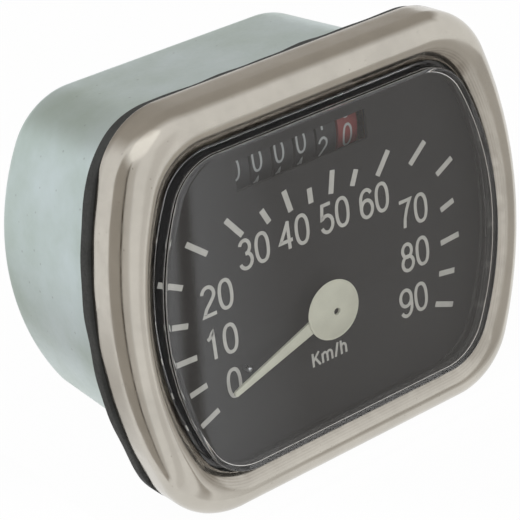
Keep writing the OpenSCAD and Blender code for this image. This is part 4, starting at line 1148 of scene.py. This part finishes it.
# How far each drum stands past the zero that shows, in digits, from the tenths to the ten thousands
DRUM_TURNS = (-0.34, 1.53, 0.09, 0.07, 0.08, 0.05)
DIGITS = "0123456789"


class SPEEDOMETER_OT_drums(bpy.types.Operator):
    """Finish of the number drums and the digits printed round them"""
    bl_idname = "speedometer.drums"
    bl_label = "Number drums"

    def digits(self, drums, node, past, aside):
        """All digits of one drum, printed round its rim."""
        low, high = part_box(node)
        middle = (low + high) / 2
        radius = (high.z - low.z) / 2
        slabs = []
        for k, digit in enumerate(DIGITS):
            lead = math.tau / len(DIGITS) * (past - k)

            def round_drum(across, up, out):
                reach = radius + (out - 0.5) * drums.ink
                heading = lead + up / radius
                return (middle.x + across * drums.narrow - aside,
                        middle.y - reach * math.cos(heading), middle.z + reach * math.sin(heading))

            slabs.append(lettering(digit, digit, drums.digit, drums.stroke, round_drum))
        return slabs

    def execute(self, context):
        drums = context.scene.speedometer_drums
        tints = context.scene.speedometer_tints
        black = drum_plastic("drum_black", tints.drum)
        red = drum_plastic("drum_red", tints.drum_red)
        ink = printed_ink("drum_ink", tints.drum_ink)
        for name, past in zip(DRUMS, DRUM_TURNS):
            if name == "tenths":
                slot, plastic, aside = "drum_red", red, drums.red_aside
            else:
                slot, plastic, aside = "drum_black", black, drums.aside
            node = "drum_" + name
            dress(plastic, node)
            mesh = joined("digits_" + name, self.digits(drums, node, past, aside))
            put("digits_" + name, mesh, ink, name, slot)
        return {"FINISHED"}


# Thread form: depth and flat crest as shares of the pitch, rings to a turn, and the plain lead before it
THREAD_DEPTH = 0.55
THREAD_FLAT = 0.12
THREAD_RINGS = 8
THREAD_LEAD = 0.1 * MM
# Corners of a nut are turned down to this share of its flats, on a cone at this angle
NUT_TURNED = 1.02
NUT_CONE = math.radians(30)


class SPEEDOMETER_OT_rear(bpy.types.Operator):
    """Threaded cable neck, and the studs with their washers and nuts"""
    bl_idname = "speedometer.rear"
    bl_label = "Rear fittings"

    def thread(self, radius, pitch, start, end):
        """Rings of a threaded rod from start to end, with a broken edge at the end."""
        depth = THREAD_DEPTH * pitch
        turns = np.linspace(0, 1, TURN_STEPS, endpoint=False)
        rings = []
        for y in np.linspace(start, end, round((end - start) / pitch * THREAD_RINGS)):
            wave = np.abs(((y / pitch - turns) % 1) * 2 - 1)
            rise = np.clip((wave - THREAD_FLAT) / (1 - 2 * THREAD_FLAT), 0, 1)
            fade = min(1, (y - start) / pitch)
            top = min(radius, radius - depth + end - y)
            rings.append(circle(np.minimum(top, radius - depth * (1 - rise) * fade), y))
        return rings

    def neck(self, rear):
        low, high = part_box("drive_neck")
        edge, collar, case_back = rear.edge, (high.x - low.x) / 2, CASE_HIGH.y
        mouth, seat = high.y, high.y - rear.socket_depth
        floor = seat - rear.well_depth
        body = [(rear.spigot, low.y), (rear.spigot, case_back), (collar - edge, case_back),
                (collar, case_back + edge), (collar, -edge), (collar - edge, 0),
                (rear.neck - rear.neck_relief, 0)]
        inside = [(rear.socket + edge, mouth), (rear.socket, mouth - edge), (rear.socket, seat),
                  (rear.well, seat), (rear.well, floor), (rear.bore, floor), (rear.bore, low.y)]
        rings = turned_rings(body) + self.thread(rear.neck, rear.neck_pitch, THREAD_LEAD, mouth)
        mesh = loft("cable_neck", rings + turned_rings(inside), closed=True, crease=40)
        put("cable_neck", mesh, inner_finish("die_cast"), "housing", "die_cast", "drive_neck")

    def stud(self, rear, shoulder):
        low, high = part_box("rear_studs")
        root, edge = rear.stud_root, rear.edge
        body = [(root - edge, low.y), (root, low.y + edge), (root, shoulder - edge), (root - edge, shoulder),
                (rear.stud_tip - rear.stud_relief, shoulder)]
        thread = self.thread(rear.stud_tip, rear.stud_pitch, shoulder + THREAD_LEAD, high.y)
        return loft("stud", turned_rings(body) + thread, crease=40)

    def washer(self, rear, hole):
        low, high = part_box("stud_washers")
        radius, edge, crown = (high.z - low.z) / 2, rear.washer_edge, 2 * rear.washer_edge
        section = [(hole, low.y), (radius - edge, low.y), (radius, low.y + edge), (radius, high.y - crown),
                   (radius - crown, high.y), (hole, high.y)]
        return loft("washer", turned_rings(section), closed=True)

    def nut(self, rear, hole, low, high):
        """A hexagon whose corners are turned down to a cone at both ends."""
        flats, mouth = (high.z - low.z) / 2, rear.nut_mouth
        front, back = low.y, high.y
        turns = np.linspace(0, math.tau, TURN_STEPS, endpoint=False)
        hexagon = flats / np.cos((turns + math.pi / 2 + math.pi / 6) % (math.pi / 3) - math.pi / 6)
        turned = np.minimum(hexagon, flats * NUT_TURNED)
        fall = (hexagon - turned) * math.tan(NUT_CONE)
        section = [(hole, front + mouth), (hole + mouth, front), (turned, front), (hexagon, front + fall),
                   (hexagon, back - fall), (turned, back), (hole + mouth, back), (hole, back - mouth)]
        return loft("nut", turned_rings(section), closed=True, crease=25)

    def execute(self, context):
        rear = context.scene.speedometer_rear
        plated = inner_finish("zinc_steel")
        hole = rear.stud_root + rear.hole_gap
        nut_low, nut_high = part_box("stud_nuts")
        self.neck(rear)
        tree = row_tree()
        pair = {"Count": 2, "Start": (-rear.stud_spacing / 2, 0, 0), "Step": (rear.stud_spacing, 0, 0),
                "Finish": plated}
        studs = grown("studs", self.stud(rear, nut_high.y), tree, pair)
        put("studs", studs, None, "housing", "zinc_steel", "rear_studs")
        washers = grown("washers", self.washer(rear, hole), tree, pair)
        put("washers", washers, None, "housing", "zinc_steel", "stud_washers")
        nuts = grown("nuts", self.nut(rear, hole, nut_low, nut_high), tree, pair)
        put("nuts", nuts, None, "housing", "zinc_steel", "stud_nuts")
        dress(plated, "lamp_holder")
        return {"FINISHED"}


# Finish of each piece that keeps the frame's own shape
INNER = {
    "blued_steel": ("pointer_spindle",),
    "bright_steel": ("zero_lever", "bridge_pillars", "dial_pillars", "frame_screws", "drive_spindle",
                     "spindle_clip", "cross_shaft", "gear_arbors", "odometer_axle", "axle_spacer",
                     "carrier_rod", "pinion_carriers", "gear_plate", "odometer_bracket"),
    "brass": ("hairspring_collet", "hairspring", "front_bush", "drive_worm", "worm_wheel", "cross_pinion",
              "first_gear", "second_gear", "odometer_gear"),
    "cup_aluminium": ("speed_cup",),
    "die_cast": ("movement_base", "movement_bridge", "shaft_bracket"),
    "keeper_steel": ("keeper_cup",),
    "magnet_iron": ("magnet",),
    "pale_nylon": tuple(f"carry_pinion_{k}" for k in range(1, 6)),
}


class SPEEDOMETER_OT_movement(bpy.types.Operator):
    """Finish of the movement, the gear train and the lamp inside the case"""
    bl_idname = "speedometer.movement"
    bl_label = "Movement"

    def execute(self, context):
        for finish, nodes in INNER.items():
            dress(inner_finish(finish), *nodes)
        dress(bulb_glass(), "lamp_bulb")
        return {"FINISHED"}


# Glowing shading cards in metres, seen only in reflections, which give the plated metal its bands as painted
# reflections. Level 0 is the dark line, 0.5 grey, 1 white.
# Over the part from the front to behind it: y, z, level; and across it: x, level
BACK_OVER = ((0.85, 0.28, 0.7), (0.75, 0.42, 0.5), (0.1, 0.9, 0.5), (-0.3, 0.9, 1))
BACK_ACROSS = ((-0.5, 1), (-0.25, 0.5), (0.9, 0.5), (1.2, 1))
# Card round the bezel's lower left corner, giving painted dark stripes in its reflections: turn in degrees,
# level; and out from it: distance, height, least level
LEFT_TURNS = ((132, 1), (138, 0.5), (184, 0.5), (187, 0), (191, 0), (194, 0.7), (218, 0.76), (226, 1),
              (258, 1), (268, 0.85), (284, 0.85), (292, 1))
LEFT_RISE = ((0.003, 0, 0), (0.5, 0, 0), (0.5, 0.35, 0), (0.5, 0.5, 1))
# On the floor ahead of the bezel, a painted shade of the floor near the part as metal and lens reflect it: y,
# least level; and across: x, level; the rows shift aside as they go ahead
FRONT_AHEAD = ((-0.054, 0.8), (-0.06, 0.52), (-0.1, 0.54), (-0.15, 0.58), (-0.3, 0.66), (-0.42, 1))
FRONT_ACROSS = ((-0.04, 1), (-0.038, 0.35), (-0.0355, 0.35), (-0.034, 0.95), (-0.01, 0.6), (0.3, 0.6),
                (0.4, 1))
FRONT_SHIFT = 0.67
FRONT_LINE_FROM = -0.09
# Painted floor shadow by the case's left side, seen in the case's reflection: x, level; and along it: y,
# least level
SHADOW_CARD_ACROSS = ((-0.046, 0.55), (-0.11, 1))
SHADOW_CARD_ALONG = ((-0.035, 1), (0, 0.5), (0.1, 0.5), (0.16, 1))
CARD_LIFT = 1 * MM
# Lamps: place, target, diameter, watts, and whether metal shows it
LAMPS = {
    "key_light": ((-0.45, -0.3, 0.6), (0, -0.03, 0), 0.7, 1.4, False),
    "fill_light": ((0.45, -0.55, 0.35), (0, -0.03, 0), 0.6, 0.5, False),
    "soft_light": ((-0.44, -0.17, 0.7), (-0.04, -0.05, 0.04), 0.9, 0.66, True),
}


class SPEEDOMETER_OT_stage(bpy.types.Operator):
    """Pale floor, soft light, shading cards and the camera"""
    bl_idname = "speedometer.stage"
    bl_label = "Stage"

    def floor(self, stage, ground):
        half = stage.floor / 2
        corners = [(x * half, y * half, ground) for x, y in ((-1, -1), (1, -1), (1, 1), (-1, 1))]
        mesh = bpy.data.meshes.new("floor")
        mesh.from_pydata(corners, [], [(0, 1, 2, 3)])
        mesh.materials.append(floor_paint(stage))
        helper_object("floor", mesh)

    def world(self, scene):
        """White where it is seen, and a plain soft light elsewhere."""
        scene.world = bpy.data.worlds.new("studio")
        scene.world.use_nodes = True
        tree = scene.world.node_tree
        back = tree.nodes["Background"]
        soft = scene.speedometer_stage.world_light
        strength = add(tree, "ShaderNodeMapRange", {"To Min": soft, "To Max": 1}, {
            "Value": seen_directly(tree)})
        tree.links.new(strength.outputs[0], back.inputs["Strength"])
        back.inputs["Color"].default_value = (1, 1, 1, 1)

    def card(self, name, rows, material):
        """A shading card that shows only in reflections, from rows of points (x, y, z, level)."""
        points = np.concatenate(rows)
        across = len(rows[0])
        faces = [(k, k + 1, k + across + 1, k + across)
                 for row in range(len(rows) - 1) for k in range(row * across, (row + 1) * across - 1)]
        mesh = bpy.data.meshes.new(name)
        mesh.from_pydata([tuple(p) for p in points[:, :3]], [], faces)
        set_values(mesh, "level", points[:, 3])
        mesh.materials.append(material)
        card = helper_object(name, mesh)
        card.visible_camera = False

    def cards(self, stage, ground):
        grey = card_paint(stage)
        lifted = ground + CARD_LIFT
        self.card("back_card", [[(x, y, z, max(edge, shown)) for x, edge in BACK_ACROSS]
                                for y, z, shown in BACK_OVER], grey)

        corner = Vector((BEZEL_LOW.x, BEZEL_LOW.y + 2 * MM, lifted))
        rows = []
        for reach, up, least in LEFT_RISE:
            headings = [(math.radians(turn), shown) for turn, shown in LEFT_TURNS]
            rows.append([(corner.x + reach * math.cos(t), corner.y + reach * math.sin(t), corner.z + up,
                          max(shown, least)) for t, shown in headings])
        self.card("left_card", rows, grey)

        # Painted floor shade ahead of the bezel, seen only in reflections
        rows = []
        for y, least in FRONT_AHEAD:
            shift = (BEZEL_LOW.y - y) * FRONT_SHIFT
            lined = y < FRONT_LINE_FROM
            rows.append([(x + shift, y, lifted, shown if lined and shown < 0.5 else max(shown, least))
                         for x, shown in FRONT_ACROSS])
        self.card("front_card", rows, grey)

        # Painted floor shadow beside the case, which the case's left side reflects
        low = ground + CARD_LIFT / 2
        self.card("side_card", [[(x, y, low, max(shown, least)) for x, shown in SHADOW_CARD_ACROSS]
                                for y, least in SHADOW_CARD_ALONG], grey)

    def lamp(self, name, place, target, size, power, in_metal):
        lamp = bpy.data.lights.new(name, "AREA")
        lamp.shape = "DISK"
        lamp.size = size
        lamp.energy = power
        light = helper_object(name, lamp)
        light.location = place
        light.rotation_euler = (Vector(target) - Vector(place)).to_track_quat("-Z", "Y").to_euler()
        light.visible_glossy = in_metal

    def camera(self, scene):
        stage = scene.speedometer_stage
        camera = bpy.data.cameras.new("camera")
        camera.lens = stage.focal
        camera.clip_start = 0.01
        eye = helper_object("camera", camera)
        target = Vector((stage.target_x, DIAL_LOW.y, stage.target_z))
        turn = Matrix.Rotation(-stage.turn, 4, "Z") @ Matrix.Rotation(math.pi / 2 - stage.rise, 4, "X")
        pose = turn @ Matrix.Rotation(stage.roll, 4, "Z") @ Matrix.Translation((0, 0, stage.distance))
        eye.matrix_world = Matrix.Translation(target) @ pose
        scene.camera = eye

    def execute(self, context):
        scene = context.scene
        scene.view_settings.view_transform = "Standard"
        ground = min(CAD_BOX[0][2], BEZEL_LOW.z)
        self.floor(scene.speedometer_stage, ground)
        self.world(scene)
        self.cards(scene.speedometer_stage, ground)
        for name, settings in LAMPS.items():
            self.lamp(name, *settings)
        self.camera(scene)
        return {"FINISHED"}


OPERATORS = (
    SPEEDOMETER_OT_stage,
    SPEEDOMETER_OT_case,
    SPEEDOMETER_OT_bezel,
    SPEEDOMETER_OT_rubbers,
    SPEEDOMETER_OT_lens,
    SPEEDOMETER_OT_dial,
    SPEEDOMETER_OT_pointer,
    SPEEDOMETER_OT_drums,
    SPEEDOMETER_OT_rear,
    SPEEDOMETER_OT_movement,
)


class SPEEDOMETER_PT_panel(bpy.types.Panel):
    """Lists the pieces and the sizes and colours behind them"""
    bl_idname = "SPEEDOMETER_PT_panel"
    bl_label = "Speedometer"
    bl_space_type = "VIEW_3D"
    bl_region_type = "UI"
    bl_category = "Speedometer"

    def draw(self, context):
        for operator in OPERATORS:
            self.layout.operator(operator.bl_idname)
        for name, group in GROUPS.items():
            box = self.layout.box()
            box.label(text=name.split("_")[1].capitalize())
            for setting in group.__annotations__:
                box.prop(getattr(context.scene, name), setting)


def register():
    for group in GROUPS.values():
        bpy.utils.register_class(group)
    for name, group in GROUPS.items():
        setattr(bpy.types.Scene, name, bpy.props.PointerProperty(type=group))
    for part in (*OPERATORS, SPEEDOMETER_PT_panel):
        bpy.utils.register_class(part)


def unregister():
    for part in (SPEEDOMETER_PT_panel, *reversed(OPERATORS)):
        bpy.utils.unregister_class(part)
    for name, group in reversed(GROUPS.items()):
        delattr(bpy.types.Scene, name)
        bpy.utils.unregister_class(group)


def main():
    register()
    for operator in OPERATORS:
        getattr(bpy.ops.speedometer, operator.bl_idname.split(".")[1])()


if __name__ == "__main__":
    main()
